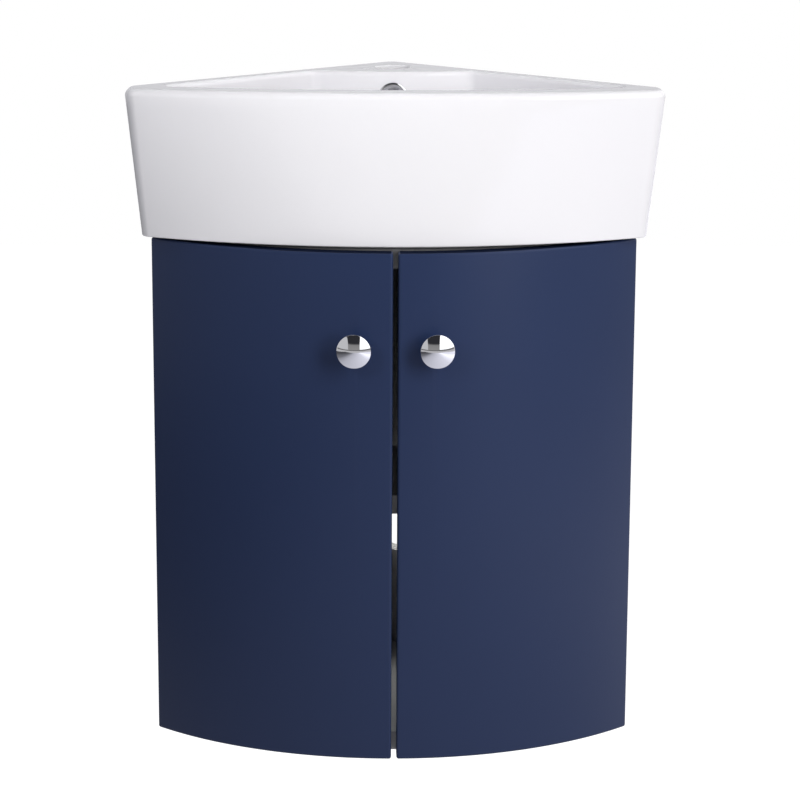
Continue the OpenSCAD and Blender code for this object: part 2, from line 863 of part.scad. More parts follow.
// Outline of the basin at one level, with round corners, drawn in by a distance
module basin_outline(width, front, radius, inset) {
    offset(r = tip_round, $fn = corner_fn) offset(delta = -tip_round - inset) intersection() {
        room_wedge(0);
        translate([0, radius - front]) circle(radius, $fn = outline_fn);
        square([width, 3 * front], center = true);
    }
}

module foot_slice(level, inset) {
    translate([0, 0, level]) linear_extrude(slice)
        basin_outline(foot_width, foot_front, foot_front_radius, inset);
}

module rim_slice(level, inset) {
    translate([0, 0, level]) linear_extrude(slice)
        basin_outline(basin_width, basin_front, rim_front_radius, inset);
}

// The outside of the basin: it spreads from the foot to the rim, and both edges are rounded
module basin_body() {
    hull() {
        for (turn = [0, 45, 90])
            foot_slice(basin_base + foot_round * (1 - sin(turn)), foot_round * (1 - cos(turn)));
        for (turn = [0, 30, 60, 90])
            rim_slice(rim_level - slice - rim_round * (1 - sin(turn)), rim_round * (1 - cos(turn)));
    }
}

// The hollow under the basin
module basin_hollow() {
    hull() {
        foot_slice(basin_base - cut, foot_wall);
        rim_slice(deck_underside - clay, clay);
        rim_slice(deck_underside, hollow_top_inset);
    }
}

// Outline of the bowl before the tap deck is cut from it, drawn in by a distance
module bowl_outline(inset) {
    offset(r = bowl_round, $fn = corner_fn) offset(delta = -bowl_round - inset) intersection() {
        room_wedge(rim_side);
        translate([0, rim_front_radius - basin_front])
            circle(rim_front_radius - rim_front, $fn = outline_fn);
        translate([-bowl_half, -2 * basin_front])
            square([2 * bowl_half, 2 * basin_front - deck_meet - side_line]);
    }
}

module bowl_slice(level, inset) {
    translate([0, 0, level]) linear_extrude(slice) bowl_outline(inset);
}

// The bowl's form, swelled outwards by a distance: steep walls that turn into a small floor
module bowl_form(swell, top) {
    difference() {
        hull() {
            bowl_slice(top, -swell);
            for (step = bowl_steps)
                bowl_slice(rim_level - bowl_depth * step[0], step[1] - swell);
            bowl_slice(bowl_floor - swell, bowl_floor_inset - swell);
        }
        translate([0, deck_centre, basin_base])
            cylinder(r = deck_radius - swell, h = basin_height + cut, $fn = arc_fn);
    }
}

// The rim's inner edge opens in two steps, and the deck's front edge with it
module flared_rim() {
    difference() {
        union() {
            hull() {
                bowl_slice(rim_level - 2 * rim_flare, 0);
                bowl_slice(rim_level - rim_flare / 2, -rim_flare / 2);
            }
            hull() {
                bowl_slice(rim_level - rim_flare / 2, -rim_flare / 2);
                bowl_slice(rim_level + cut, -rim_flare - cut);
            }
        }
        translate([0, deck_centre, rim_level - 3 * rim_flare])
            cylinder(r1 = deck_radius, r2 = deck_radius - rim_flare, h = 3 * rim_flare + 2 * cut,
                $fn = arc_fn);
    }
}

// The overflow runs down behind the bowl's wall and forward into the waste. The upright part
// is a little wider than the level one, and reaches below it.
module overflow_channel(bore, top) {
    upright = bore + channel_step;
    translate([0, -channel_back, channel_level - upright / 2])
        cylinder(d = upright, h = top - channel_level + upright / 2);
    translate([0, -channel_back, channel_level]) rotate([90, 0, 0])
        cylinder(d = bore, h = waste_back - channel_back);
}

module basin() {
    color("white") difference() {
        union() {
            difference() {
                basin_body();
                basin_hollow();
            }
            bowl_form(clay, rim_level - cut);
            translate([0, -waste_back, waste_boss_level])
                cylinder(d = waste_d + 2 * clay, h = bowl_floor - waste_boss_level);
            overflow_channel(channel_d + clay, deck_underside + cut);
        }
        bowl_form(0, rim_level);
        flared_rim();
        overflow_channel(channel_d, overflow_level);
        translate([0, -channel_back, overflow_level]) rotate([90, 0, 0])
            cylinder(d = overflow_d, h = deck_front);
        translate([0, -deck_front + ring_seat, overflow_level]) rotate([90, 0, 0])
            cylinder(d = ring_d + 4 * fixed_fit, h = deck_front);
        translate([0, -tap_back, deck_underside - clay]) cylinder(d = tap_d, h = deck + clay + cut);
        translate([0, -waste_back, waste_boss_level - cut]) cylinder(d = waste_d, h = bowl_depth);
        translate([0, -waste_back, bowl_floor - waste_recess])
            cylinder(d = waste_flange_d, h = waste_recess + cut);
    }
}

module overflow_ring() {
    bore = overflow_d / 2 - ring_wall;
    color("silver") translate([0, -deck_front + ring_seat, overflow_level]) rotate([90, 0, 0])
        rotate_extrude() {
            translate([bore, -ring_barrel])
                square([ring_wall - 2 * fixed_fit, ring_barrel + ring_lip / 2]);
            translate([bore, 0]) square([ring_d / 2 - bore - ring_lip / 2, ring_lip]);
            intersection() {
                translate([ring_d / 2 - ring_lip, 0]) circle(ring_lip);
                translate([bore, 0]) square(ring_d);
            }
        }
}

// Sealant between the foot of the basin and the carcass
module basin_seal() {
    color([0.93, 0.93, 0.92]) translate([0, 0, carcass_top]) linear_extrude(seal) intersection() {
        difference() {
            basin_outline(foot_width, foot_front, foot_front_radius, foot_round);
            basin_outline(foot_width, foot_front, foot_front_radius, clay + seal_spread);
        }
        circle(carcass_radius - seal_setback, $fn = arc_fn);
    }
}

basin();
overflow_ring();
basin_seal();
left_side_panel();
right_side_panel();
bottom_board();
top_board();
shelf();
shelf_pins();
panel_screws();
left_hanging_plate();
right_hanging_plate();
hanging_plate_screws();
left_door();
right_door();
left_knob();
right_knob();
left_knob_screw();
right_knob_screw();
left_door_buffers();
right_door_buffers();
upper_left_hinge_cup();
lower_left_hinge_cup();
upper_right_hinge_cup();
lower_right_hinge_cup();
upper_left_hinge_link();
lower_left_hinge_link();
upper_right_hinge_link();
lower_right_hinge_link();
upper_left_hinge_arm();
lower_left_hinge_arm();
upper_right_hinge_arm();
lower_right_hinge_arm();
upper_left_hinge_plate();
lower_left_hinge_plate();
upper_right_hinge_plate();
lower_right_hinge_plate();
left_cup_pins();
right_cup_pins();
arm_pins();
left_cup_screws();
right_cup_screws();
hinge_plate_screws();
hinge_arm_screws();
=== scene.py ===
"""Dresses the corner vanity unit: its basin, curved doors, knobs, boards, hinges and screws."""
import json
import math

import bmesh
import bpy
from bpy.props import FloatProperty, FloatVectorProperty, PointerProperty
from mathutils import Matrix, Vector


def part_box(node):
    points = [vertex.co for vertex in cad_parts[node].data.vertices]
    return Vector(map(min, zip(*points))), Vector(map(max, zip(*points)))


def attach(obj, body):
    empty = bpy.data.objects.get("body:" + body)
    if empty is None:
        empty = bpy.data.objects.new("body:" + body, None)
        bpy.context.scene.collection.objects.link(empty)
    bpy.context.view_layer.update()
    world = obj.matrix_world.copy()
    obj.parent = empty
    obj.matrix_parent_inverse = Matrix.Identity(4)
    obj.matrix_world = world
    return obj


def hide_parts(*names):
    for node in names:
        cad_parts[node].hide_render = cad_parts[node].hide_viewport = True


bl_info = {
    "name": "Corner Vanity Unit",
    "version": (1, 0, 0),
    "blender": (4, 5, 0),
    "location": "View3D > Sidebar > Vanity",
    "description": "Builds the visible pieces and finishes of a wall-hung corner vanity unit",
    "category": "Object",
}

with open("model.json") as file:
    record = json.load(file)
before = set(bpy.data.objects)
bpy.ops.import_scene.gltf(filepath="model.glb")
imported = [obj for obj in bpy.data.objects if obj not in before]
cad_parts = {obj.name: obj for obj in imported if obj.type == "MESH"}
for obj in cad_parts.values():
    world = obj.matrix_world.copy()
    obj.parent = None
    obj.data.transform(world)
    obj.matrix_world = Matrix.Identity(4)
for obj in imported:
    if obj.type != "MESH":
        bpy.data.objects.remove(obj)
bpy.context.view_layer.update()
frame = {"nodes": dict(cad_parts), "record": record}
SIDES = {"left": 1, "right": -1}
ROOM_WALL = {"left": math.radians(-135), "right": math.radians(-45)}
MM = 0.001
DIAGONAL = math.sqrt(0.5)

# The angle from which an edge is shaded sharp.
SHARP = math.radians(32)
# Steps round a corner, a rounded lip, a duct and a turned piece.
CORNER_STEPS, LIP_STEPS, DUCT_STEPS, FINE_STEPS = 10, 5, 48, 96
# Distances under which points become one, and the length under which an edge is a speck.
LOFT_MERGE, SCREW_MERGE, PIECE_MERGE, SPECK = 1e-7, 1e-6, 2e-6, 1e-6
# Kinds of node socket, and the colour sockets of a mix node.
FLOAT, VECTOR, COLOR = "NodeSocketFloat", "NodeSocketVector", "NodeSocketColor"
GEOMETRY, MATERIAL = "NodeSocketGeometry", "NodeSocketMaterial"
MIX_FIRST, MIX_SECOND, MIX_RESULT = 6, 7, 2
BASIN_LOW, BASIN_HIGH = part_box("basin")
DOOR_LOW, DOOR_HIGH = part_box("left_door")
MOUNTS = {mount["name"]: mount for mount in frame["record"]["mounts"]}
BODY = {node: body for body, nodes in frame["record"]["behaviour"]["bodies"].items() for node in nodes}


def length(name, default, description):
    """A property that holds a length in metres."""
    return FloatProperty(name=name, default=default, description=description, unit="LENGTH",
                         precision=4)


def colour(name, default, description):
    """A property that holds a linear colour."""
    return FloatVectorProperty(name=name, default=default, description=description,
                               subtype="COLOR", size=3, min=0, max=1)


class VanityBasinSizes(bpy.types.PropertyGroup):
    """Sizes of the basin's outside, bowl and holes."""
    rim_width: length("Rim Width", 0.5, "Overall width of the basin at its rim")
    rim_front: length("Rim Front", 0.316, "From the corner of the room to the rim's front")
    rim_front_radius: length("Rim Front Radius", 0.9, "Radius of the rim's front in plan")
    foot_width: length("Foot Width", 0.476, "Overall width of the basin at its foot")
    foot_front: length("Foot Front", 0.3165, "From the corner of the room to the foot's front")
    foot_front_radius: length("Foot Front Radius", 0.49, "Radius of the foot's front in plan")
    corner: length("Corner", 0.014, "Radius of the upright corners")
    rim_round: length("Rim Rounding", 0.007, "Rounding of the rim's outer edge")
    foot_round: length("Foot Rounding", 0.0015, "Rounding of the foot's edge")
    wall: length("Wall", 0.011, "Thickness of the ceramic")
    deck: length("Deck", 0.014, "Thickness of the tap deck")
    side_border: length("Side Border", 0.019, "Width of the rim along the walls")
    front_border: length("Front Border", 0.034, "Width of the rim at the front")
    tip_border: length("Tip Border", 0.038, "From the basin's side to the bowl's tip")
    bowl_depth: length("Bowl Depth", 0.107, "Depth of the bowl")
    bowl_corner: length("Bowl Corner", 0.012, "Radius of the bowl's upright corners")
    floor_inset: length("Floor Inset", 0.042, "How far the bowl's floor is drawn in from its rim")
    back_inset: length("Back Inset", 0.012, "How far the bowl's floor is drawn in from the deck's front")
    bowl_edge: length("Bowl Edge", 0.005, "Rounding of the rim's inner edge")
    deck_front: length("Deck Front", 0.118, "From the corner of the room to the deck's front")
    deck_radius: length("Deck Radius", 0.215, "Radius of the deck's front in plan")
    overflow_drop: length("Overflow Drop", 0.026, "From the rim down to the overflow's centre")
    overflow_hole: length("Overflow Hole", 0.023, "Diameter of the overflow hole")
    ring_diameter: length("Ring Diameter", 0.031, "Outer diameter of the overflow ring")


class VanityCabinetSizes(bpy.types.PropertyGroup):
    """Sizes of the doors, knobs and boards."""
    door_radius: length("Door Radius", 0.3325, "Outer radius of the closed doors")
    door_thickness: length("Door Thickness", 0.018, "Thickness of the doors")
    door_edge: length("Door Edge", 0.0022, "Rounding of the doors' edges")
    wall_gap: length("Wall Gap", 0.006, "Gap between a door and its wall")
    centre_gap: length("Centre Gap", 0.005, "Gap between the two doors")
    knob_diameter: length("Knob Diameter", 0.032, "Diameter of a knob")
    knob_reach: length("Knob Reach", 0.026, "Distance that a knob stands out from its door")
    knob_inset: length("Knob Inset", 0.034, "From the inner edge of a door to its knob")
    cup_diameter: length("Cup Diameter", 0.03506, "Diameter of the pocket for a hinge cup")
    cup_depth: length("Cup Depth", 0.0116, "Depth of the pocket for a hinge cup")
    cup_edge: length("Cup Edge", 0.00497, "From the outer edge of a door to the pocket")
    flange_rim: length("Flange Rim", 0.00122, "How far the seat of a cup's flange stands round the pocket")
    wing_length: length("Wing Length", 0.05606, "Upright length of the seat for the flange's wings")
    wing_width: length("Wing Width", 0.01506, "Width of the seat for the flange's wings")
    wing_aside: length("Wing Aside", 0.004, "How far the wings stand off towards the door's middle")
    seat_room: length("Seat Room", 0.004, "How far the flange's seat is cut clear of the door's back")
    board_edge: length("Board Edge", 0.0004, "Rounding of the boards' edges")
    metal_edge: length("Metal Edge", 0.00025, "Rounding of the pressed metal's edges")


class VanityFinishes(bpy.types.PropertyGroup):
    """Colours of the finishes, in linear light."""
    ceramic: colour("Ceramic", (0.9, 0.892, 0.922), "Glazed basin")
    lacquer: colour("Lacquer", (0.0185, 0.0322, 0.087), "Doors")
    melamine: colour("Melamine", (0.72, 0.72, 0.71), "Faces of the boards")
    chrome: colour("Chrome", (0.8, 0.805, 0.82), "Knobs and overflow ring")
    nickel: colour("Nickel", (0.56, 0.56, 0.57), "Hinges")
    zinc: colour("Zinc", (0.6, 0.62, 0.65), "Screws, pins and hanging plates")
    # The bead is painted dark grey, a painted shade of its recess under the basin.
    sealant: colour("Sealant", (0.2, 0.2, 0.21), "Bead under the basin")


class VanityStage(bpy.types.PropertyGroup):
    """The camera and the studio."""
    camera_x: length("Camera X", -0.0388, "Camera to the right of the room's corner")
    camera_y: length("Camera Y", -2.768, "Camera into the room, seen from the corner")
    camera_z: length("Camera Z", 0.897, "Camera above the doors' lower edges")
    pitch: FloatProperty(name="Pitch", default=math.radians(12.631), subtype="ANGLE",
                         description="How far the camera looks down")
    yaw: FloatProperty(name="Yaw", default=math.radians(1.0156), subtype="ANGLE",
                       description="How far the camera turns to the right")
    roll: FloatProperty(name="Roll", default=math.radians(0.2757), subtype="ANGLE",
                        description="How far the camera leans")
    lens: FloatProperty(name="Lens", default=121.45, subtype="DISTANCE_CAMERA",
                        description="Focal length on a 36 mm sensor")
    floor_level: length("Floor Level", -0.22, "Level of the floor under the unit")
    ambient: FloatProperty(name="Ambient", default=0.27, description="Strength of the soft light")
    key: FloatProperty(name="Key Light", default=27, unit="POWER",
                       description="Power of the light on the right")
    overhead: FloatProperty(name="Overhead Light", default=1.2, unit="POWER",
                            description="Power of the light above")
    fill: FloatProperty(name="Fill Light", default=1.4, unit="POWER",
                        description="Power of the small light on the left")
    bowl: FloatProperty(name="Bowl Light", default=0.1, unit="POWER",
                        description="Power of the narrow light that reaches into the bowl")
    rear: FloatProperty(name="Rear Light", default=1.9, unit="POWER",
                        description="Power of the light behind")


# ---- Meshes ----

def new_piece(name, materials=()):
    """An empty mesh object in the scene, with its materials."""
    piece = bpy.data.objects.new(name, bpy.data.meshes.new(name))
    bpy.context.scene.collection.objects.link(piece)
    for material in materials:
        piece.data.materials.append(material)
    return piece


def as_object(bm, name, materials=()):
    """An object made from a bmesh."""
    piece = new_piece(name, materials)
    bm.to_mesh(piece.data)
    bm.free()
    return piece


def settle(piece, body, slot_name, *nodes):
    """Hangs a finished piece from the body that it rides on and hides the CAD nodes that it stands for;
    its finish, slot_name, is not used.
    """
    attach(piece, body)
    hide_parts(*nodes)


def shade(mesh, angle=SHARP):
    """Smooth shading that keeps the edges sharper than an angle."""
    mesh.shade_smooth()
    mesh.set_sharp_from_angle(angle=angle)


def loft(rings, close_ends=True):
    """A bmesh skin over closed rings that have the same number of points."""
    bm = bmesh.new()
    rows = [[bm.verts.new(point) for point in ring] for ring in rings]
    count = len(rows[0])
    for low, high in zip(rows, rows[1:]):
        for i in range(count):
            j = (i + 1) % count
            bm.faces.new((low[i], low[j], high[j], high[i]))
    if close_ends:
        bm.faces.new(list(reversed(rows[0])))
        bm.faces.new(rows[-1])
    bmesh.ops.remove_doubles(bm, verts=bm.verts, dist=LOFT_MERGE)
    bmesh.ops.recalc_face_normals(bm, faces=bm.faces)
    return bm


def lathe(profile, place, steps=64, closed=False):
    """A turned solid from (radius, height) points; place moves it to its axis."""
    rings = [[place @ Vector((radius * math.cos(turn), radius * math.sin(turn), height))
              for turn in (2 * math.pi * i / steps for i in range(steps))]
             for radius, height in profile]
    return loft(rings + rings[:1], False) if closed else loft(rings)


def arc_points(centre, radius, start, end, steps):
    """Points (x, y) along an arc, with angles in degrees."""
    angles = [math.radians(start + (end - start) * i / steps) for i in range(steps + 1)]
    return [(centre[0] + radius * math.cos(a), centre[1] + radius * math.sin(a)) for a in angles]


def rod(radius, low, high):
    """The profile of a straight rod between two heights."""
    return [(radius, low), (radius, high)]


def rounding(size, steps):
    """A quarter of a rounded edge, as (how far aside, how far below its end) from its start."""
    turns = [math.pi / 2 * i / steps for i in range(steps + 1)]
    return [(size * (1 - math.cos(turn)), size * (1 - math.sin(turn))) for turn in turns]


def keep_result(piece):
    """Makes what an object's modifiers give its plain mesh, and removes them."""
    graph = bpy.context.evaluated_depsgraph_get()
    result = bpy.data.meshes.new_from_object(piece.evaluated_get(graph), depsgraph=graph)
    piece.modifiers.clear()
    piece.data = result


def combine(piece, shapes):
    """Adds or cuts each (operation, name, bmesh) in turn."""
    for operation, name, bm in shapes:
        tool = as_object(bm, name)
        modifier = piece.modifiers.new("combine", "BOOLEAN")
        modifier.operation = operation
        modifier.object = tool
        modifier.solver = "EXACT"
        keep_result(piece)
        bpy.data.objects.remove(tool)


def finish_mesh(piece):
    """Cleans a mesh that booleans made, and shades it."""
    bm = bmesh.new()
    bm.from_mesh(piece.data)
    bmesh.ops.remove_doubles(bm, verts=bm.verts, dist=PIECE_MERGE)
    bmesh.ops.dissolve_degenerate(bm, edges=bm.edges, dist=SPECK)
    bm.to_mesh(piece.data)
    bm.free()
    shade(piece.data)


class Wall:
    """A straight side of an outline; the inside lies along its normal."""

    def __init__(self, point, normal):
        self.normal = Vector(normal).normalized()
        self.level = Vector(point).dot(self.normal)

    def moved(self, inset):
        """This side drawn in by a distance."""
        return Wall(self.normal * (self.level + inset), self.normal)

    def nearest(self, point):
        """The point of the side nearest to another point."""
        return point - self.normal * (point.dot(self.normal) - self.level)

    def points(self, start, end, steps):
        """Points along the side, without the last one."""
        return [start.lerp(end, i / steps) for i in range(steps)]


class Bow:
    """A curved side of an outline: inward is 1 if the inside lies within its circle."""

    def __init__(self, centre, radius, inward):
        self.centre, self.radius, self.inward = Vector(centre), radius, inward

    def moved(self, inset):
        """This side drawn in by a distance."""
        return Bow(self.centre, self.radius - inset * self.inward, self.inward)

    def nearest(self, point):
        """The point of the side nearest to another point."""
        return self.centre + (point - self.centre).normalized() * self.radius

    def points(self, start, end, steps):
        """Points along the side, without the last one."""
        first, last = start - self.centre, end - self.centre
        turn = first.angle_signed(last)
        return [self.centre + Matrix.Rotation(-turn * i / steps, 2) @ first for i in range(steps)]


def crossing(one, other, near, rounds=200):
    """The point near a guess that lies on both sides, found by stepping between them."""
    point = Vector(near)
    for _ in range(rounds):
        point = other.nearest(one.nearest(point))
    return point


def outline(sides, corners, radius, insets, level, steps):
    """A closed ring around sides drawn in by their insets, with its corners rounded."""
    drawn = [side.moved(inset) for side, inset in zip(sides, insets)]
    rounds = []
    for i, guess in enumerate(corners):
        before, after = drawn[i - 1], drawn[i]
        centre = crossing(before.moved(radius), after.moved(radius), guess)
        rounds.append((before.nearest(centre), centre, after.nearest(centre)))
    ring = []
    for i, side in enumerate(drawn):
        start, centre, end = rounds[i]
        turn = (start - centre).angle_signed(end - centre)
        ring += [centre + Matrix.Rotation(-turn * k / CORNER_STEPS, 2) @ (start - centre)
                 for k in range(CORNER_STEPS)]
        ring += side.points(end, rounds[(i + 1) % len(sides)][0], steps[i])
    return [point.to_3d() + Vector((0, 0, level)) for point in ring]


# ---- Basin ----

class BasinForm:
    """Rings of the basin's outside and bowl, from the sizes in the panel.

    The powers set how soon the bowl deepens and how squarely its sides and back meet its floor."""
    SIDE_STEPS, TIP_STEPS, FRONT_STEPS, DECK_STEPS = 24, 4, 80, 36
    FOOT_STEPS, RIM_STEPS, HOLLOW_STEPS, EDGE_STEPS = 6, 10, 4, 8
    WALL_RINGS, BOWL_RINGS = 12, 24
    LEAST_CORNER = 0.003
    HOLLOW_SLOPE = 0.6
    DEPTH_POWER, SIDE_POWER, BACK_POWER = 0.8, 3.6, 9
    EDGE_PLAY = 0.00003

    def __init__(self, sizes):
        self.sizes = sizes
        self.rim, self.foot = BASIN_HIGH.z, BASIN_LOW.z
        self.floor = self.rim - sizes.bowl_depth

    def shell(self, width, front, radius, inset, level):
        """One ring of the outside, drawn in by an inset."""
        half = width / 2
        sides = [Wall((0, 0), (DIAGONAL, -DIAGONAL)), Wall((-half, 0), (1, 0)),
                 Bow((0, radius - front), radius, 1), Wall((half, 0), (-1, 0)),
                 Wall((0, 0), (-DIAGONAL, -DIAGONAL))]
        tip = radius - front - math.sqrt(radius ** 2 - half ** 2)
        corners = [(0, 0), (-half, -half), (-half, tip), (half, tip), (half, -half)]
        steps = [self.SIDE_STEPS, self.TIP_STEPS, self.FRONT_STEPS, self.TIP_STEPS, self.SIDE_STEPS]
        corner = max(self.sizes.corner - inset, self.LEAST_CORNER)
        return outline(sides, corners, corner, [inset] * len(sides), level, steps)

    def foot_ring(self, inset, level):
        """One ring near the foot."""
        s = self.sizes
        return self.shell(s.foot_width, s.foot_front, s.foot_front_radius, inset, level)

    def rim_ring(self, inset, level):
        """One ring near the rim."""
        s = self.sizes
        return self.shell(s.rim_width, s.rim_front, s.rim_front_radius, inset, level)

    def outside(self):
        """The outside as a solid, from the foot's rounding to the rim's."""
        s = self.sizes
        rings = [self.foot_ring(inset, self.foot + below)
                 for inset, below in reversed(rounding(s.foot_round, self.FOOT_STEPS))]
        low = self.foot_ring(0, self.foot + s.foot_round)
        high = self.rim_ring(0, self.rim - s.rim_round)
        rings += [[a.lerp(b, i / self.WALL_RINGS) for a, b in zip(low, high)]
                  for i in range(self.WALL_RINGS + 1)]
        rings += [self.rim_ring(inset, self.rim - below)
                  for inset, below in rounding(s.rim_round, self.RIM_STEPS)]
        return loft(rings)

    def hollow(self):
        """The space under the basin, whose walls lean in towards its roof."""
        s = self.sizes
        roof = self.rim - s.deck
        rings = [self.foot_ring(s.wall, self.foot - MM), self.rim_ring(s.wall, roof - s.wall)]
        rings += [self.rim_ring(s.wall + self.HOLLOW_SLOPE * aside, roof - below)
                  for aside, below in rounding(s.wall, self.HOLLOW_STEPS)]
        return loft(rings)

    def bowl_ring(self, back, side, tip, level):
        """One ring of the bowl, with the insets of the deck's front, of the sides and of the tips."""
        s = self.sizes
        half = s.rim_width / 2 - s.tip_border
        centre = s.rim_front_radius - s.rim_front
        edge = s.rim_front_radius - s.front_border
        line = s.side_border / DIAGONAL
        deck_centre = s.deck_radius - s.deck_front
        chord = math.sqrt(2 * s.deck_radius ** 2 - (line + deck_centre) ** 2)
        meet = (chord - line - deck_centre) / 2
        far = centre - math.sqrt(edge ** 2 - half ** 2)
        sides = [Bow((0, deck_centre), s.deck_radius, -1),
                 Wall((0, -line), (DIAGONAL, -DIAGONAL)), Wall((-half, 0), (1, 0)),
                 Bow((0, centre), edge, 1), Wall((half, 0), (-1, 0)),
                 Wall((0, -line), (-DIAGONAL, -DIAGONAL))]
        corners = [(meet, -meet - line), (-meet, -meet - line), (-half, -half - line),
                   (-half, far), (half, far), (half, -half - line)]
        insets = [back, side, tip, side, tip, side]
        steps = [self.DECK_STEPS, self.SIDE_STEPS, self.TIP_STEPS, self.FRONT_STEPS, self.TIP_STEPS,
                 self.SIDE_STEPS]
        return outline(sides, corners, s.bowl_corner + max(0, -side), insets, level, steps)

    def flared(self, spread, level):
        """One ring of the bowl's rounded upper edge."""
        return self.bowl_ring(-spread, -spread, -spread, level)

    def bowl(self, swell, top_edge):
        """The bowl as a solid, swelled outwards; its top edge may flare."""
        s = self.sizes
        top = top_edge or s.bowl_edge
        rings = []
        for i in reversed(range(self.BOWL_RINGS + 1)):
            depth = math.sin(i / self.BOWL_RINGS * math.pi / 2) ** self.DEPTH_POWER
            fall = 1 - math.sqrt(max(0, 1 - depth ** self.SIDE_POWER))
            back = 1 - math.sqrt(max(0, 1 - depth ** self.BACK_POWER))
            level = self.rim - top - (s.bowl_depth - top) * depth
            side = s.floor_inset * fall
            rings.append(self.bowl_ring(s.back_inset * back - swell, side - swell, 2 * side - swell,
                                        level - swell * depth))
        if top_edge:
            rings += [self.flared(aside, self.rim - below + self.EDGE_PLAY)
                      for aside, below in rounding(top_edge, self.EDGE_STEPS)[1:]]
            rings.append(self.flared(top_edge, self.rim + 4 * MM))
        return loft(rings)


def upright(y):
    """A place on the middle line whose z axis points up."""
    return Matrix.Translation((0, y, 0))


def facing_out(y, z):
    """A place whose z axis points out of the room's corner, at a distance and a level."""
    return Matrix.Translation((0, y, z)) @ Matrix.Rotation(math.pi / 2, 4, "X")


def lipped(radius, lip, level, skipped, rise, play=0.00002):
    """The rounded upper edge of a hole, open above, without the first points of its rounding."""
    curve = rounding(lip, LIP_STEPS)[skipped:]
    edge = [(radius + aside, level - below + play) for aside, below in curve]
    return edge + [(radius + lip, level + rise)]


def make_basin(sizes, glaze):
    """The casting: shell, bowl, waste boss, overflow duct and holes."""
    form = BasinForm(sizes)
    piece = as_object(form.outside(), "basin_casting", [glaze])
    tap, waste = MOUNTS["tap_hole"], MOUNTS["waste_hole"]
    tap_y, waste_y = tap["pos_m"][1], waste["pos_m"][1]
    tap_r, waste_r = tap["dims"]["r_mm"] * MM, waste["dims"]["r_mm"] * MM
    tap_lip, tap_depth, tap_rise = 0.0015, 0.01, 0.003
    seat_r, seat_depth, seat_lip, seat_rise = 0.033, 0.0025, 0.003, 0.01
    boss_rise = 0.005
    duct_r, duct_bore, duct_wall, duct_foot = 0.0125, 0.007, 0.0045, 0.007
    cross_r, cross_bore, cross_rise = 0.011, 0.0055, 0.0185
    ring_seat, ring_play, ring_room = 0.0007, 0.0001, 0.03
    deck_top, deck_low = form.rim, form.rim - sizes.deck
    tap_cut = rod(tap_r, deck_low - tap_depth, deck_top - tap_lip)
    tap_cut += lipped(tap_r, tap_lip, deck_top, 1, tap_rise)
    seat = form.floor - seat_depth
    waste_cut = rod(waste_r, form.foot, seat - MM) + [(waste_r + MM, seat), (seat_r - MM, seat)]
    waste_cut += lipped(seat_r, seat_lip, form.floor, 2, seat_rise)
    overflow_level = form.rim - sizes.overflow_drop
    duct_y = -sizes.deck_front + sizes.wall + duct_wall
    cross_level = form.foot + cross_rise
    foot = cross_level - duct_foot
    reach = waste_y - duct_y
    seat_y = sizes.deck_front + duct_y - ring_seat
    overflow_cut = rod(sizes.overflow_hole / 2, 0, seat_y)
    overflow_cut += rod(sizes.ring_diameter / 2 + ring_play, seat_y, ring_room)
    upper, lower = facing_out(duct_y, overflow_level), facing_out(duct_y, cross_level)
    boss = rod(waste_r + sizes.wall, form.foot + boss_rise, form.floor)
    duct, bore = rod(duct_r, foot, deck_low + MM), rod(duct_bore, foot, overflow_level)
    cross, level_bore = rod(cross_r, 0, -reach), rod(cross_bore, 0, -reach)
    combine(piece, [
        ("DIFFERENCE", "hollow", form.hollow()),
        ("UNION", "bowl_wall", form.bowl(sizes.wall, 0)),
        ("UNION", "boss", lathe(boss, upright(waste_y))),
        ("UNION", "duct", lathe(duct, upright(duct_y), DUCT_STEPS)),
        ("UNION", "level_duct", lathe(cross, lower, DUCT_STEPS)),
        ("DIFFERENCE", "bowl", form.bowl(0, sizes.bowl_edge)),
        ("DIFFERENCE", "duct_bore", lathe(bore, upright(duct_y), DUCT_STEPS)),
        ("DIFFERENCE", "level_bore", lathe(level_bore, lower, DUCT_STEPS)),
        ("DIFFERENCE", "overflow", lathe(overflow_cut, upper)),
        ("DIFFERENCE", "tap", lathe(tap_cut, upright(tap_y), FINE_STEPS)),
        ("DIFFERENCE", "waste", lathe(waste_cut, upright(waste_y), FINE_STEPS)),
    ])
    finish_mesh(piece)
    settle(piece, "carcass", "glazed_ceramic", "basin")


# ---- Node trees ----

def give(tree, socket, value):
    """Gives a socket a value, or a link from another socket."""
    if isinstance(value, bpy.types.NodeSocket):
        tree.links.new(value, socket)
    else:
        socket.default_value = value


def add_node(tree, kind, inputs=None, **settings):
    """Adds a node; an input is a value, or a socket to link from."""
    node = tree.nodes.new(kind)
    for name, value in settings.items():
        setattr(node, name, value)
    for name, value in (inputs or {}).items():
        give(tree, node.inputs[name], value)
    return node


def math_node(tree, operation, first, second=0.0):
    """The result of an operation on two values."""
    node = add_node(tree, "ShaderNodeMath", {0: first, 1: second}, operation=operation)
    return node.outputs[0]


def blend_colours(tree, factor, first, second):
    """A mix of two colours, each a socket or three levels."""
    node = add_node(tree, "ShaderNodeMix", data_type="RGBA")
    give(tree, node.inputs["Factor"], factor)
    for index, value in ((MIX_FIRST, first), (MIX_SECOND, second)):
        is_socket = isinstance(value, bpy.types.NodeSocket)
        give(tree, node.inputs[index], value if is_socket else (*value, 1))
    return node.outputs[MIX_RESULT]


def ramp_of(tree, value, stops):
    """A colour ramp over a value, from its (position, colour) stops in order."""
    ramp = add_node(tree, "ShaderNodeValToRGB", {"Fac": value})
    elements = ramp.color_ramp.elements
    for element, (position, level) in zip(elements, (stops[0], stops[-1])):
        element.position, element.color = position, (*level, 1)
    for position, level in stops[1:-1]:
        elements.new(position).color = (*level, 1)
    return ramp.outputs["Color"]


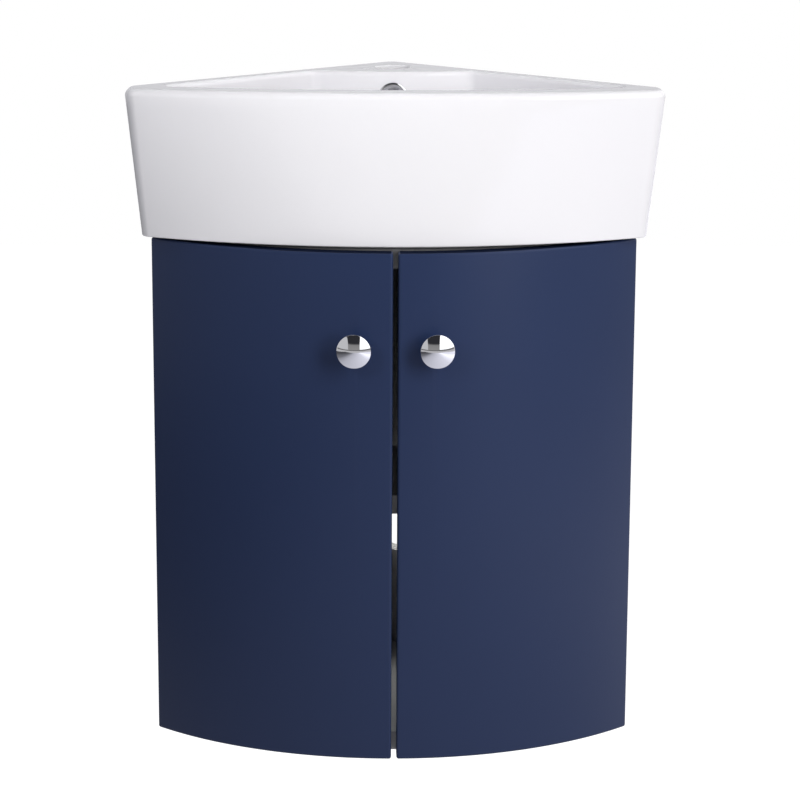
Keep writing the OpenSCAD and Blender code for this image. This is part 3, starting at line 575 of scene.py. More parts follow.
def fresh_group(name, kind, inputs, outputs):
    """A node group with named sockets: each input is (name, socket type, default)."""
    group = bpy.data.node_groups.new(name, kind)
    for label, socket_type, default in inputs:
        socket = group.interface.new_socket(label, in_out="INPUT", socket_type=socket_type)
        if default is not None:
            socket.default_value = default
    for label, socket_type in outputs:
        group.interface.new_socket(label, in_out="OUTPUT", socket_type=socket_type)
    return group, group.nodes.new("NodeGroupInput"), group.nodes.new("NodeGroupOutput")


def run_geometry(piece, tree, values, material):
    """Runs a geometry tree on a piece and keeps its result as a plain mesh."""
    modifier = piece.modifiers.new("shape", "NODES")
    modifier.node_group = tree
    sockets = {item.name: item.identifier for item in tree.interface.items_tree if item.in_out == "INPUT"}
    for name, value in {**values, "Material": material}.items():
        modifier[sockets[name]] = value
    keep_result(piece)


def end_tree(tree, result, geometry, material):
    """Ends a geometry tree: its instances made real, with their material."""
    real = add_node(tree, "GeometryNodeRealizeInstances", {"Geometry": geometry})
    covered = add_node(tree, "GeometryNodeSetMaterial",
                       {"Geometry": real.outputs["Geometry"], "Material": material})
    tree.links.new(covered.outputs["Geometry"], result.inputs["Geometry"])


# ---- Shader groups ----

def noise(tree, position, scale, detail=2.0, roughness=0.5):
    """A noise value that follows the object's own coordinates."""
    node = add_node(tree, "ShaderNodeTexNoise",
                    {"Vector": position, "Scale": scale, "Detail": detail, "Roughness": roughness})
    return node.outputs["Fac"]


def ranged(tree, value, from_low, from_high, to_low, to_high):
    """A value moved from one range to another, kept within it."""
    node = add_node(tree, "ShaderNodeMapRange",
                    {"Value": value, "From Min": from_low, "From Max": from_high, "To Min": to_low,
                     "To Max": to_high})
    return node.outputs["Result"]


def ripple_group():
    """Shallow waves at two scales, as in glaze and lacquer."""
    group, source, result = fresh_group("Ripple", "ShaderNodeTree", [
        ("Vector", VECTOR, None), ("Broad Scale", FLOAT, 25.0),
        ("Fine Scale", FLOAT, 600.0), ("Fine Share", FLOAT, 0.2)],
        [("Height", FLOAT)])
    broad = noise(group, source.outputs["Vector"], source.outputs["Broad Scale"], 1.0)
    fine = noise(group, source.outputs["Vector"], source.outputs["Fine Scale"], 1.0)
    part = math_node(group, "MULTIPLY", fine, source.outputs["Fine Share"])
    group.links.new(math_node(group, "ADD", broad, part), result.inputs["Height"])
    return group


def mottle_group():
    """A colour with slow and fine variation, and a matching roughness."""
    group, source, result = fresh_group("Mottle", "ShaderNodeTree", [
        ("Vector", VECTOR, None), ("Color", COLOR, None),
        ("Scale", FLOAT, 12.0), ("Amount", FLOAT, 0.06),
        ("Roughness", FLOAT, 0.3), ("Roughness Spread", FLOAT, 0.05)],
        [("Color", COLOR), ("Roughness", FLOAT)])
    cloud = noise(group, source.outputs["Vector"], source.outputs["Scale"], 5.0, 0.6)
    centred = math_node(group, "SUBTRACT", cloud, 0.5)
    shift = math_node(group, "MULTIPLY", centred, source.outputs["Amount"])
    bright = math_node(group, "ADD", shift, 1.0)
    tint = add_node(group, "ShaderNodeHueSaturation", {"Value": bright, "Color": source.outputs["Color"]})
    smear_and_shade = math_node(group, "MULTIPLY", centred, source.outputs["Roughness Spread"])
    rough = math_node(group, "ADD", smear_and_shade, source.outputs["Roughness"])
    group.links.new(tint.outputs["Color"], result.inputs["Color"])
    group.links.new(rough, result.inputs["Roughness"])
    return group


def grain_group():
    """Fine parallel lines, as on rolled or brushed metal."""
    group, source, result = fresh_group("Grain", "ShaderNodeTree", [
        ("Vector", VECTOR, None), ("Stretch", VECTOR, (1, 1, 1)),
        ("Scale", FLOAT, 900.0)], [("Lines", FLOAT)])
    drawn = add_node(group, "ShaderNodeMapping",
                     {"Vector": source.outputs["Vector"], "Scale": source.outputs["Stretch"]})
    lines = noise(group, drawn.outputs["Vector"], source.outputs["Scale"], 3.0, 0.65)
    group.links.new(lines, result.inputs["Lines"])
    return group


def chip_group():
    """The coarse flakes of cut chipboard: a colour and a height."""
    group, source, result = fresh_group("Chips", "ShaderNodeTree", [
        ("Vector", VECTOR, None), ("Scale", FLOAT, 420.0)],
        [("Color", COLOR), ("Height", FLOAT)])
    cells = add_node(group, "ShaderNodeTexVoronoi",
                     {"Vector": source.outputs["Vector"], "Scale": source.outputs["Scale"]})
    dark, light, dust_scale = (0.38, 0.37, 0.355), (0.8, 0.79, 0.77), 2600.0
    flakes = ramp_of(group, cells.outputs["Color"], ((0.0, dark), (1.0, light)))
    dust = noise(group, source.outputs["Vector"], dust_scale)
    dusty = add_node(group, "ShaderNodeHueSaturation",
                     {"Value": ranged(group, dust, 0.3, 0.7, 0.75, 1.15), "Color": flakes})
    group.links.new(dusty.outputs["Color"], result.inputs["Color"])
    group.links.new(cells.outputs["Distance"], result.inputs["Height"])
    return group


# ---- Materials ----

class Finish:
    """A material in the making: a Principled shader with the object's coordinates."""

    def __init__(self, name, plain):
        self.material = bpy.data.materials.new(name)
        self.material.use_nodes = True
        self.tree = self.material.node_tree
        self.shader = next(n for n in self.tree.nodes if n.type == "BSDF_PRINCIPLED")
        for socket, value in plain.items():
            self.shader.inputs[socket].default_value = value
        self.place = add_node(self.tree, "ShaderNodeTexCoord").outputs["Object"]

    def group(self, group, inputs):
        """Places a shared group that reads the object's coordinates."""
        return add_node(self.tree, "ShaderNodeGroup", {"Vector": self.place, **inputs}, node_tree=group)

    def mottled(self, group, base, scale, amount, roughness, spread):
        """Gives the shader a colour and a roughness that vary; returns them."""
        node = self.group(group, {"Color": (*base, 1), "Scale": scale, "Amount": amount,
                                  "Roughness": roughness, "Roughness Spread": spread})
        varied = node.outputs["Color"], node.outputs["Roughness"]
        self.feed("Base Color", varied[0])
        self.feed("Roughness", varied[1])
        return varied

    def rippled(self, group, broad, fine, share, strength, distance):
        """Gives the shader a bump of shallow waves."""
        node = self.group(group, {"Broad Scale": broad, "Fine Scale": fine, "Fine Share": share})
        self.bump(node.outputs["Height"], strength, distance)

    def upward(self, none, full):
        """A mask of the faces that look up, from the height of their normals."""
        normal = add_node(self.tree, "ShaderNodeTexCoord").outputs["Normal"]
        height = add_node(self.tree, "ShaderNodeSeparateXYZ", {"Vector": normal}).outputs["Z"]
        return ranged(self.tree, height, none, full, 0.0, 1.0)

    def feed(self, socket, source):
        """Links a value or colour to the shader."""
        self.tree.links.new(source, self.shader.inputs[socket])

    def bump(self, height, strength, distance):
        """A bump on the shader's normal."""
        node = add_node(self.tree, "ShaderNodeBump",
                        {"Height": height, "Strength": strength, "Distance": distance})
        self.feed("Normal", node.outputs["Normal"])


class Finishes:
    """Every material of the unit, made once from the colours in the panel."""
    SHEET_ROUGHNESS, EDGE_ROUGHNESS = 0.34, 0.28
    # How dark the doors' top faces are painted, a painted shade, and how little they reflect there.
    TOP_SHADE_SHARE = 0.3
    COAT, GLOSS, BARE_GLOSS = 0.06, 0.24, 0.04
    # Grey painted over the top board's upper edge as painted shade under the basin, from how far below its
    # top it starts to where it is full.
    SHADE_GREY = (0.12, 0.12, 0.125)
    SMEAR_START, SMEAR_FULL = 18 * MM, 4 * MM

    def __init__(self, colours):
        self.colours = colours
        self.ripple, self.mottle = ripple_group(), mottle_group()
        self.grain, self.chips = grain_group(), chip_group()
        self.glaze = self.make_glaze()
        self.lacquer = self.make_lacquer()
        sheet, edge = self.SHEET_ROUGHNESS, self.EDGE_ROUGHNESS
        self.melamine = self.make_melamine("White melamine", sheet)
        self.edging = self.make_melamine("White edging", edge)
        # The top board's melamine and edging carry painted shade towards their top, under the basin.
        self.shaded_melamine = self.make_melamine("White melamine under the basin", sheet, with_painted_shade=True)
        self.shaded_edging = self.make_melamine("White edging under the basin", edge, with_painted_shade=True)
        self.chipboard = self.make_chipboard()
        self.chrome = self.make_chrome()
        self.nickel = self.make_metal("Nickel plate", colours.nickel, 0.24, stretch=(1, 1, 14))
        self.zinc = self.make_metal("Zinc plate", colours.zinc, 0.3, stretch=(9, 9, 1))
        self.sealant = self.make_soft("Sealant", colours.sealant, 0.42)
        self.bumper = self.make_soft("Clear bumper", (0.8, 0.82, 0.85), 0.25, clear=0.6)

    def make_glaze(self):
        """White glaze: a clear hard gloss over a body with the faintest waves."""
        finish = Finish("White glaze", {"IOR": 1.52, "Coat Weight": 0.2, "Coat Roughness": 0.03})
        finish.mottled(self.mottle, self.colours.ceramic, scale=9.0, amount=0.025, roughness=0.07,
                       spread=0.03)
        finish.rippled(self.ripple, broad=22.0, fine=260.0, share=0.12, strength=0.25, distance=0.0012)
        return finish.material

    def make_lacquer(self):
        """Satin lacquer with orange peel; the doors' top faces are painted dark and dull, a painted shade.
        """
        finish = Finish("Satin blue lacquer", {"IOR": 1.48, "Coat Roughness": 0.22})
        face, rough = finish.mottled(self.mottle, self.colours.lacquer, scale=7.0, amount=0.09,
                                     roughness=0.36, spread=0.07)
        # Painted shade: faces that look up, the doors' tops, are darker, rougher and without gloss.
        top_shade = finish.upward(0.9, 0.97)
        top_shade_colour = [self.TOP_SHADE_SHARE * level for level in self.colours.lacquer]
        finish.feed("Base Color", blend_colours(finish.tree, top_shade, face, top_shade_colour))
        finish.feed("Roughness", math_node(finish.tree, "MAXIMUM", rough, top_shade))
        finish.feed("Coat Weight", ranged(finish.tree, top_shade, 0.0, 1.0, self.COAT, 0.0))
        finish.feed("Specular IOR Level", ranged(finish.tree, top_shade, 0.0, 1.0, self.GLOSS, self.BARE_GLOSS))
        finish.rippled(self.ripple, broad=320.0, fine=1500.0, share=0.35, strength=0.12, distance=0.0004)
        return finish.material

    def make_melamine(self, name, roughness, with_painted_shade=False):
        """Melamine face with its fine pressed texture; the shaded version is painted grey towards its top,
        a painted shade under the basin.
        """
        finish = Finish(name, {"IOR": 1.5})
        face, _ = finish.mottled(self.mottle, self.colours.melamine, scale=16.0, amount=0.05,
                                 roughness=roughness, spread=0.08)
        if with_painted_shade:
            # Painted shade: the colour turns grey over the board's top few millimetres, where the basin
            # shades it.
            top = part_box("top_board")[1].z
            height = add_node(finish.tree, "ShaderNodeSeparateXYZ", {"Vector": finish.place}).outputs["Z"]
            smear_and_shade = ranged(finish.tree, height, top - self.SMEAR_START, top - self.SMEAR_FULL, 0.0, 1.0)
            finish.feed("Base Color", blend_colours(finish.tree, smear_and_shade, face, self.SHADE_GREY))
        finish.rippled(self.ripple, broad=700.0, fine=2400.0, share=0.5, strength=0.18, distance=0.0003)
        return finish.material

    def make_chipboard(self):
        """The raw core where a board was cut."""
        finish = Finish("Raw chipboard", {"Roughness": 0.9, "IOR": 1.4})
        chips = finish.group(self.chips, {"Scale": 430.0})
        finish.feed("Base Color", chips.outputs["Color"])
        finish.bump(chips.outputs["Height"], strength=0.7, distance=0.0008)
        return finish.material

    def make_chrome(self):
        """Polished chrome with the faintest smears."""
        finish = Finish("Polished chrome", {"Metallic": 1.0})
        finish.mottled(self.mottle, self.colours.chrome, scale=60.0, amount=0.03, roughness=0.055,
                       spread=0.03)
        return finish.material

    def make_metal(self, name, base, roughness, stretch):
        """Plated steel with rolling lines."""
        finish = Finish(name, {"Metallic": 1.0})
        finish.mottled(self.mottle, base, scale=130.0, amount=0.16, roughness=roughness, spread=0.12)
        grain = finish.group(self.grain, {"Stretch": stretch, "Scale": 500.0})
        finish.bump(grain.outputs["Lines"], strength=0.1, distance=0.0002)
        return finish.material

    def make_soft(self, name, base, roughness, clear=0.0):
        """Sealant or soft plastic, which may be clear."""
        finish = Finish(name, {"IOR": 1.43, "Transmission Weight": clear})
        finish.mottled(self.mottle, base, scale=90.0, amount=0.06, roughness=roughness, spread=0.1)
        finish.rippled(self.ripple, broad=180.0, fine=900.0, share=0.2, strength=0.2, distance=0.0004)
        return finish.material


# Filled by finish_set.
finishes = {}


def finish_set():
    """The materials, made the first time that an operator asks."""
    if "all" not in finishes:
        finishes["all"] = Finishes(bpy.context.scene.vanity_finishes)
    return finishes["all"]


# ---- Doors and knobs ----

def panel_tree():
    """Geometry nodes for a curved panel: a rectangle swept along an arc about the z axis."""
    tree, source, result = fresh_group("Curved panel", "GeometryNodeTree", [
        ("Inner Radius", FLOAT, 0.312), ("Thickness", FLOAT, 0.018),
        ("Lower Level", FLOAT, 0.0), ("Height", FLOAT, 0.488),
        ("Start Angle", FLOAT, 0.0), ("Sweep Angle", FLOAT, 0.75),
        ("Segments", "NodeSocketInt", 96), ("Material", MATERIAL, None)],
        [("Geometry", GEOMETRY)])
    value = source.outputs
    half_thickness = math_node(tree, "MULTIPLY", value["Thickness"], 0.5)
    middle = math_node(tree, "ADD", value["Inner Radius"], half_thickness)
    arc = add_node(tree, "GeometryNodeCurveArc",
                   {"Resolution": value["Segments"], "Radius": middle, "Start Angle": value["Start Angle"],
                    "Sweep Angle": value["Sweep Angle"]})
    section = add_node(tree, "GeometryNodeCurvePrimitiveQuadrilateral",
                       {"Width": value["Thickness"], "Height": value["Height"]})
    swept = add_node(tree, "GeometryNodeCurveToMesh",
                     {"Curve": arc.outputs["Curve"], "Profile Curve": section.outputs["Curve"],
                      "Fill Caps": True})
    half_height = math_node(tree, "MULTIPLY", value["Height"], 0.5)
    level = add_node(tree, "ShaderNodeCombineXYZ",
                     {"Z": math_node(tree, "ADD", value["Lower Level"], half_height)})
    raised = add_node(tree, "GeometryNodeTransform",
                      {"Geometry": swept.outputs["Mesh"], "Translation": level.outputs["Vector"]})
    end_tree(tree, result, raised.outputs["Geometry"], value["Material"])
    return tree


def cone(tree, segments, low, high, low_radius, high_radius):
    """A closed cone or cylinder between two levels, as geometry nodes."""
    depth = math_node(tree, "SUBTRACT", high, low)
    shape = add_node(tree, "GeometryNodeMeshCone",
                     {"Vertices": segments, "Radius Top": high_radius, "Radius Bottom": low_radius,
                      "Depth": depth})
    place = add_node(tree, "ShaderNodeCombineXYZ", {"Z": low})
    moved = add_node(tree, "GeometryNodeTransform",
                     {"Geometry": shape.outputs["Mesh"], "Translation": place.outputs["Vector"]})
    return moved.outputs["Geometry"]


def solid(tree, operation, *shapes):
    """The union of shapes, or the first one less the others."""
    node = add_node(tree, "GeometryNodeMeshBoolean", operation=operation)
    first, others = node.inputs[0], node.inputs[1]
    for i, shape in enumerate(shapes):
        tree.links.new(shape, first if operation == "DIFFERENCE" and i == 0 else others)
    return node.outputs[0]


def slab(tree, reach, width, depth):
    """One bar of a cross recess, through the top of a head."""
    size = add_node(tree, "ShaderNodeCombineXYZ",
                    {"X": math_node(tree, "MULTIPLY", reach, 2.0), "Y": width,
                     "Z": math_node(tree, "MULTIPLY", depth, 2.0)})
    return add_node(tree, "GeometryNodeMeshCube", {"Size": size.outputs["Vector"]}).outputs["Mesh"]


def screw_tree():
    """Geometry nodes that put one turned screw, with its head at the top, on each point of a mesh."""
    tree, source, result = fresh_group("Screws", "GeometryNodeTree", [
        ("Seats", GEOMETRY, None), ("Length", FLOAT, 0.013),
        ("Shank Radius", FLOAT, 0.0019), ("Tip Length", FLOAT, 0.002),
        ("Tip Radius", FLOAT, 0.0003), ("Head Radius", FLOAT, 0.0035),
        ("Neck Radius", FLOAT, 0.0019), ("Head Height", FLOAT, 0.0018),
        ("Edge", FLOAT, 0.0002), ("Recess Reach", FLOAT, 0.0018),
        ("Recess Width", FLOAT, 0.0008), ("Recess Depth", FLOAT, 0.0009),
        ("Hexagon", "NodeSocketBool", False), ("Segments", "NodeSocketInt", 32),
        ("Material", MATERIAL, None)],
        [("Geometry", GEOMETRY)])
    value = source.outputs
    edge, segments = value["Edge"], value["Segments"]
    head_low = math_node(tree, "MULTIPLY", value["Head Height"], -1.0)
    head_high = math_node(tree, "MULTIPLY", edge, -1.0)
    foot = math_node(tree, "MULTIPLY", value["Length"], -1.0)
    shoulder = math_node(tree, "ADD", foot, value["Tip Length"])
    crown = math_node(tree, "SUBTRACT", value["Head Radius"], edge)
    overlap = math_node(tree, "MULTIPLY", head_low, 0.6)
    turned = solid(tree, "UNION",
                   cone(tree, segments, head_low, head_high, value["Neck Radius"], value["Head Radius"]),
                   cone(tree, segments, head_high, 0.0, value["Head Radius"], crown),
                   cone(tree, segments, shoulder, overlap, value["Shank Radius"], value["Shank Radius"]),
                   cone(tree, segments, foot, shoulder, value["Tip Radius"], value["Shank Radius"]))
    recess = [value["Recess Reach"], value["Recess Width"], value["Recess Depth"]]
    bar = slab(tree, *recess)
    crossed = add_node(tree, "GeometryNodeTransform",
                       {"Geometry": bar, "Rotation": (0, 0, math.pi / 2)}).outputs["Geometry"]
    deep = math_node(tree, "MULTIPLY", value["Recess Depth"], -1.0)
    hexagon = cone(tree, 6, deep, value["Recess Depth"], value["Recess Reach"], value["Recess Reach"])
    cross = solid(tree, "UNION", bar, crossed)
    cutter = add_node(tree, "GeometryNodeSwitch",
                      {"Switch": value["Hexagon"], "False": cross, "True": hexagon}, input_type="GEOMETRY")
    screw = solid(tree, "DIFFERENCE", turned, cutter.outputs["Output"])
    along = add_node(tree, "GeometryNodeInputNamedAttribute", {"Name": "axis"}, data_type="FLOAT_VECTOR")
    turn = add_node(tree, "FunctionNodeAlignRotationToVector",
                    {"Vector": along.outputs["Attribute"]}, axis="Z")
    placed = add_node(tree, "GeometryNodeInstanceOnPoints",
                      {"Points": value["Seats"], "Instance": screw, "Rotation": turn.outputs["Rotation"]})
    end_tree(tree, result, placed.outputs["Instances"], value["Material"])
    return tree


class Island:
    """One solid of a CAD node: a screw whose seat and direction are to be found."""

    def __init__(self, faces):
        self.faces = faces
        self.points = [vert.co.copy() for vert in {vert for face in faces for vert in face.verts}]
        self.centre = sum(self.points, Vector()) / len(self.points)

    def long_axis(self, rounds=60, square=0.96):
        """The direction in which the points spread most, set true by the faces square to it."""
        spread = Matrix(((0, 0, 0), (0, 0, 0), (0, 0, 0)))
        for point in self.points:
            d = point - self.centre
            for i in range(3):
                for j in range(3):
                    spread[i][j] += d[i] * d[j] / MM ** 2
        axis = Vector((0.3, 0.5, 0.8))
        for _ in range(rounds):
            axis = (spread @ axis).normalized()
        true = Vector()
        for face in self.faces:
            along = face.normal.dot(axis)
            if abs(along) > square:
                true += face.normal * face.calc_area() * math.copysign(1, along)
        return true.normalized()

    def seat(self, end_share=0.05):
        """The middle of the screw's head, at its top, and the direction that it faces."""
        axis = self.long_axis()
        heights = [point.dot(axis) for point in self.points]
        low, high = min(heights), max(heights)
        middle = self.centre - axis * self.centre.dot(axis)

        def radius(level):
            return max((p - axis * p.dot(axis) - middle).length
                       for p, h in zip(self.points, heights) if abs(h - level) < end_share * (high - low))
        if radius(low) > radius(high):
            return middle + axis * low, -axis
        return middle + axis * high, axis


def screw_seats(node):
    """The seat of each screw of a CAD node, found on a merged copy of its mesh."""
    bm = bmesh.new()
    bm.from_mesh(frame["nodes"][node].data)
    bmesh.ops.remove_doubles(bm, verts=bm.verts, dist=SCREW_MERGE)
    found, seen = [], set()
    for face in bm.faces:
        if face in seen:
            continue
        group, ahead = [], [face]
        seen.add(face)
        while ahead:
            this = ahead.pop()
            group.append(this)
            for edge in this.edges:
                for other in edge.link_faces:
                    if other not in seen:
                        seen.add(other)
                        ahead.append(other)
        found.append(Island(group))
    seats = [island.seat() for island in found]
    bm.free()
    return seats


def make_screws(node, tree, values, material):
    """All the screws of one CAD node, as one mesh."""
    piece = new_piece(f"{node}_finished")
    seats = screw_seats(node)
    piece.data.from_pydata([place for place, _ in seats], [], [])
    axis = piece.data.attributes.new("axis", "FLOAT_VECTOR", "POINT")
    axis.data.foreach_set("vector", [part for _, direction in seats for part in direction])
    run_geometry(piece, tree, values, material)
    shade(piece.data)
    settle(piece, BODY[node], "zinc_screw", node)


# ---- Cabinet pieces ----

def door_span(sizes):
    """The angles at which a door starts and ends, from its wall."""
    wall = math.asin(sizes.wall_gap / sizes.door_radius)
    centre = math.radians(45) - math.asin(sizes.centre_gap / 2 / sizes.door_radius)
    return wall, centre


def middle_level(node):
    """The level halfway up a CAD node."""
    low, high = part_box(node)
    return (low.z + high.z) / 2


def on_door(side, angle, radius, level):
    """A place on a door: z points outwards, at an angle from the wall."""
    return (Matrix.Rotation(ROOM_WALL[side] + SIDES[side] * angle, 4, "Z")
            @ Matrix.Translation((radius, 0, level)) @ Matrix.Rotation(math.pi / 2, 4, "Y"))


def knob_place(side, sizes, radius):
    """The place of a knob's axis on its door, at a radius."""
    angle = door_span(sizes)[1] - sizes.knob_inset / sizes.door_radius
    return on_door(side, angle, radius, middle_level(f"{side}_knob"))


def flange_seat(side, sizes, place):
    """Room for the wings of a cup's flange, flat across the door's curved back."""
    x_reach, y_reach, corner, steps = sizes.wing_length / 2, sizes.wing_width / 2, 0.004, 5
    aside = SIDES[side] * sizes.wing_aside
    ring = []
    for x, y, start in ((1, 1, 0), (-1, 1, 90), (-1, -1, 180), (1, -1, 270)):
        middle = (x * (x_reach - corner), aside + y * (y_reach - corner))
        ring += arc_points(middle, corner, start, start + 90, steps)
    return loft([[place @ Vector((x, y, height)) for x, y in ring] for height in (-sizes.seat_room, 0)])


def make_door(side, sizes, tree, lacquer):
    """A curved door with eased edges, its hinge pockets and its knob hole."""
    wall, centre = door_span(sizes)
    inner = sizes.door_radius - sizes.door_thickness
    piece = new_piece(f"{side}_door_lacquered")
    run_geometry(piece, tree, {
        "Inner Radius": inner, "Thickness": sizes.door_thickness, "Lower Level": DOOR_LOW.z,
        "Height": DOOR_HIGH.z - DOOR_LOW.z, "Sweep Angle": centre - wall, "Segments": FINE_STEPS + 1,
        "Start Angle": ROOM_WALL[side] + min(SIDES[side] * wall, SIDES[side] * centre)}, lacquer)
    bevel(piece, sizes.door_edge, 4)
    radius, depth, knob_bore = sizes.cup_diameter / 2, sizes.cup_depth, 0.0021
    pocket = rod(radius + sizes.flange_rim, -sizes.seat_room, 0) + rod(radius, 0, depth)
    pocket += [(radius - 0.5 * MM, depth + 0.1 * MM)]
    cup_angle = wall + (sizes.cup_edge + radius) / inner
    cuts = []
    for end in ("upper", "lower"):
        place = on_door(side, cup_angle, inner, middle_level(f"{end}_{side}_hinge_cup"))
        cuts.append(("DIFFERENCE", "pocket", lathe(pocket, place)))
        cuts.append(("DIFFERENCE", "seat", flange_seat(side, sizes, place)))
    bore = rod(knob_bore, -MM, sizes.door_thickness + MM)
    cuts.append(("DIFFERENCE", "bore", lathe(bore, knob_place(side, sizes, inner), 24)))
    combine(piece, cuts)
    finish_mesh(piece)
    settle(piece, f"{side}_door_leaf", "painted_door", f"{side}_door")


def bevel(piece, width, segments, angle=math.radians(35)):
    """Rounds a piece's edges and keeps the result as a plain mesh."""
    modifier = piece.modifiers.new("edges", "BEVEL")
    modifier.width, modifier.segments = width, segments
    modifier.limit_method, modifier.angle_limit = "ANGLE", angle
    keep_result(piece)


def level_normals(piece):
    """Shades a piece smoothly with its large faces kept flat, and keeps the result."""
    shade(piece.data)
    modifier = piece.modifiers.new("normals", "WEIGHTED_NORMAL")
    modifier.weight, modifier.keep_sharp = 100, True
    keep_result(piece)


def make_knob(side, sizes, chrome):
    """A domed knob with a round lip on a waisted stem, bored for its screw."""
    cap_share, foot_share, stem_share = 0.24, 0.3, 0.19
    bore, bore_depth, foot_edge, foot_height = 0.00203, 0.009, 0.0003, 0.0012
    lip, lip_start, tuck, tuck_rise, neck = 0.0012, -115, 0.0007, 0.0002, 0.005
    radius, reach = sizes.knob_diameter / 2, sizes.knob_reach
    cap = cap_share * reach
    sphere = (radius ** 2 + cap ** 2) / (2 * cap)
    foot, stem = foot_share * sizes.knob_diameter, stem_share * sizes.knob_diameter
    lip_centre = radius - lip
    rise = math.sqrt((sphere - lip) ** 2 - lip_centre ** 2)
    lip_level = reach - sphere + rise
    touch = math.degrees(math.atan2(rise, lip_centre))
    foot_centre = foot - foot_edge
    profile = [(0, bore_depth), (bore, bore_depth), (bore, 0), (foot_centre, 0)]
    profile += arc_points((foot_centre, foot_edge), foot_edge, -90, 0, 4)
    profile += arc_points((foot_centre, foot_height - foot_edge), foot_edge, 0, 90, 4)
    profile += neck_points(foot - 2 * foot_edge, foot_height, stem, reach - cap - neck,
                           lip_centre - tuck, lip_level - lip + tuck_rise)
    profile += arc_points((lip_centre, lip_level), lip, lip_start, touch, 14)
    profile += arc_points((0, reach - sphere), sphere, touch, 90, 26)[1:-1] + [(0, reach)]
    bm = lathe(profile, knob_place(side, sizes, sizes.door_radius), FINE_STEPS)
    piece = as_object(bm, f"{side}_knob_polished", [chrome])
    shade(piece.data, math.radians(28))
    settle(piece, f"{side}_door_leaf", "chrome", f"{side}_knob")


def neck_points(foot, low, stem, high, cap, cap_level, steps=9, flare=0.0018, stem_rise=0.002):
    """The waisted stem between a knob's foot and the underside of its cap."""
    turns = [(i / steps, i / steps * math.pi / 2) for i in range(1, steps + 1)]
    points = [(stem + (foot - stem) * (1 - math.sin(turn)), low + flare * share)
              for share, turn in turns[:-1]]
    points += rod(stem, low + stem_rise, high)
    points += [(stem + (cap - stem) * (1 - math.cos(turn)), high + (cap_level - high) * math.sin(turn))
               for _, turn in turns]
    return points


def make_ring(sizes, chrome):
    """The overflow's ring: a round lip on a short barrel."""
    seat_depth, wall, play, edge, flat = 0.0007, 0.0015, 0.00006, 0.0002, 0.12
    low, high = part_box("overflow_ring")
    seat = sizes.deck_front - seat_depth
    outer = sizes.ring_diameter / 2
    bore, barrel = sizes.overflow_hole / 2 - wall, sizes.overflow_hole / 2 - play
    lip = -low.y - seat
    crown = (outer + bore) / 2
    profile = [(bore, -high.y), (barrel, -high.y), (barrel, seat), (outer - edge, seat)]
    for turn, height in arc_points((0, 0), 1, 0, 180, 28)[1:]:
        reach = outer - crown if turn > 0 else crown - bore
        profile.append((crown + reach * turn, seat + lip * (flat + (1 - flat) * height)))
    bm = lathe(profile, facing_out(0, middle_level("overflow_ring")), FINE_STEPS, closed=True)
    piece = as_object(bm, "overflow_ring_polished", [chrome])
    shade(piece.data)
    settle(piece, "carcass", "chrome", "overflow_ring")


def dressed(node, slot_name, materials, width, pick=None, segments=2):
    """A copy of a CAD node with eased edges; pick gives each face its material."""
    bm = bmesh.new()
    bm.from_mesh(frame["nodes"][node].data)
    bmesh.ops.remove_doubles(bm, verts=bm.verts, dist=PIECE_MERGE)
    bmesh.ops.dissolve_limit(bm, angle_limit=math.radians(1), verts=bm.verts, edges=bm.edges)
    for face in bm.faces:
        face.material_index = 0
    piece = as_object(bm, f"{node}_finished", materials)
    bevel(piece, width, segments)
    if pick:
        for face in piece.data.polygons:
            face.material_index = pick(face.center, face.normal)
    level_normals(piece)
    settle(piece, BODY[node], slot_name, node)


# The slots of a board's materials, and how squarely a face looks along a direction to face it.
FACE, EDGED, RAW = 0, 1, 2
FACING = 0.6


def flat_board(centre, normal, front=0.295):
    """Material of a level board's face: melamine, edging on the curved front, raw elsewhere."""
    if abs(normal.z) > FACING:
        return FACE
    return EDGED if math.hypot(centre.x, centre.y) > front else RAW


def side_board(side, front=0.305):
    """Material of a side panel's face: melamine, edging at the front, raw where it was cut."""
    across = Vector((-SIDES[side] * DIAGONAL, DIAGONAL, 0))

    def pick(centre, normal):
        if abs(normal.dot(across)) > FACING:
            return FACE
        return EDGED if math.hypot(centre.x, centre.y) > front else RAW
    return pick


def dress_cad(node, material):
    """Gives a CAD node that stays in view its finish."""
    piece = frame["nodes"][node]
    piece.data.materials.clear()
    piece.data.materials.append(material)


# ---- Operators ----

class VanityOperator(bpy.types.Operator):
    """Shared settings of the operators that make the unit."""
    bl_options = {"REGISTER", "UNDO"}


class VANITY_OT_basin(VanityOperator):
    """Cast the basin with its bowl, tap deck and holes"""
    bl_idname = "vanity.basin"
    bl_label = "Basin"

    def execute(self, context):
        make_basin(context.scene.vanity_basin, finish_set().glaze)
        return {"FINISHED"}


class VANITY_OT_overflow_ring(VanityOperator):
    """Turn the overflow's chrome ring"""
    bl_idname = "vanity.overflow_ring"
    bl_label = "Overflow Ring"

    def execute(self, context):
        make_ring(context.scene.vanity_basin, finish_set().chrome)
        return {"FINISHED"}


class VANITY_OT_doors(VanityOperator):
    """Sweep the two curved doors and cut their pockets"""
    bl_idname = "vanity.doors"
    bl_label = "Doors"

    def execute(self, context):
        tree = panel_tree()
        for side in SIDES:
            make_door(side, context.scene.vanity_cabinet, tree, finish_set().lacquer)
        return {"FINISHED"}


class VANITY_OT_knobs(VanityOperator):
    """Turn the two knobs"""
    bl_idname = "vanity.knobs"
    bl_label = "Knobs"

    def execute(self, context):
        for side in SIDES:
            make_knob(side, context.scene.vanity_cabinet, finish_set().chrome)
        return {"FINISHED"}


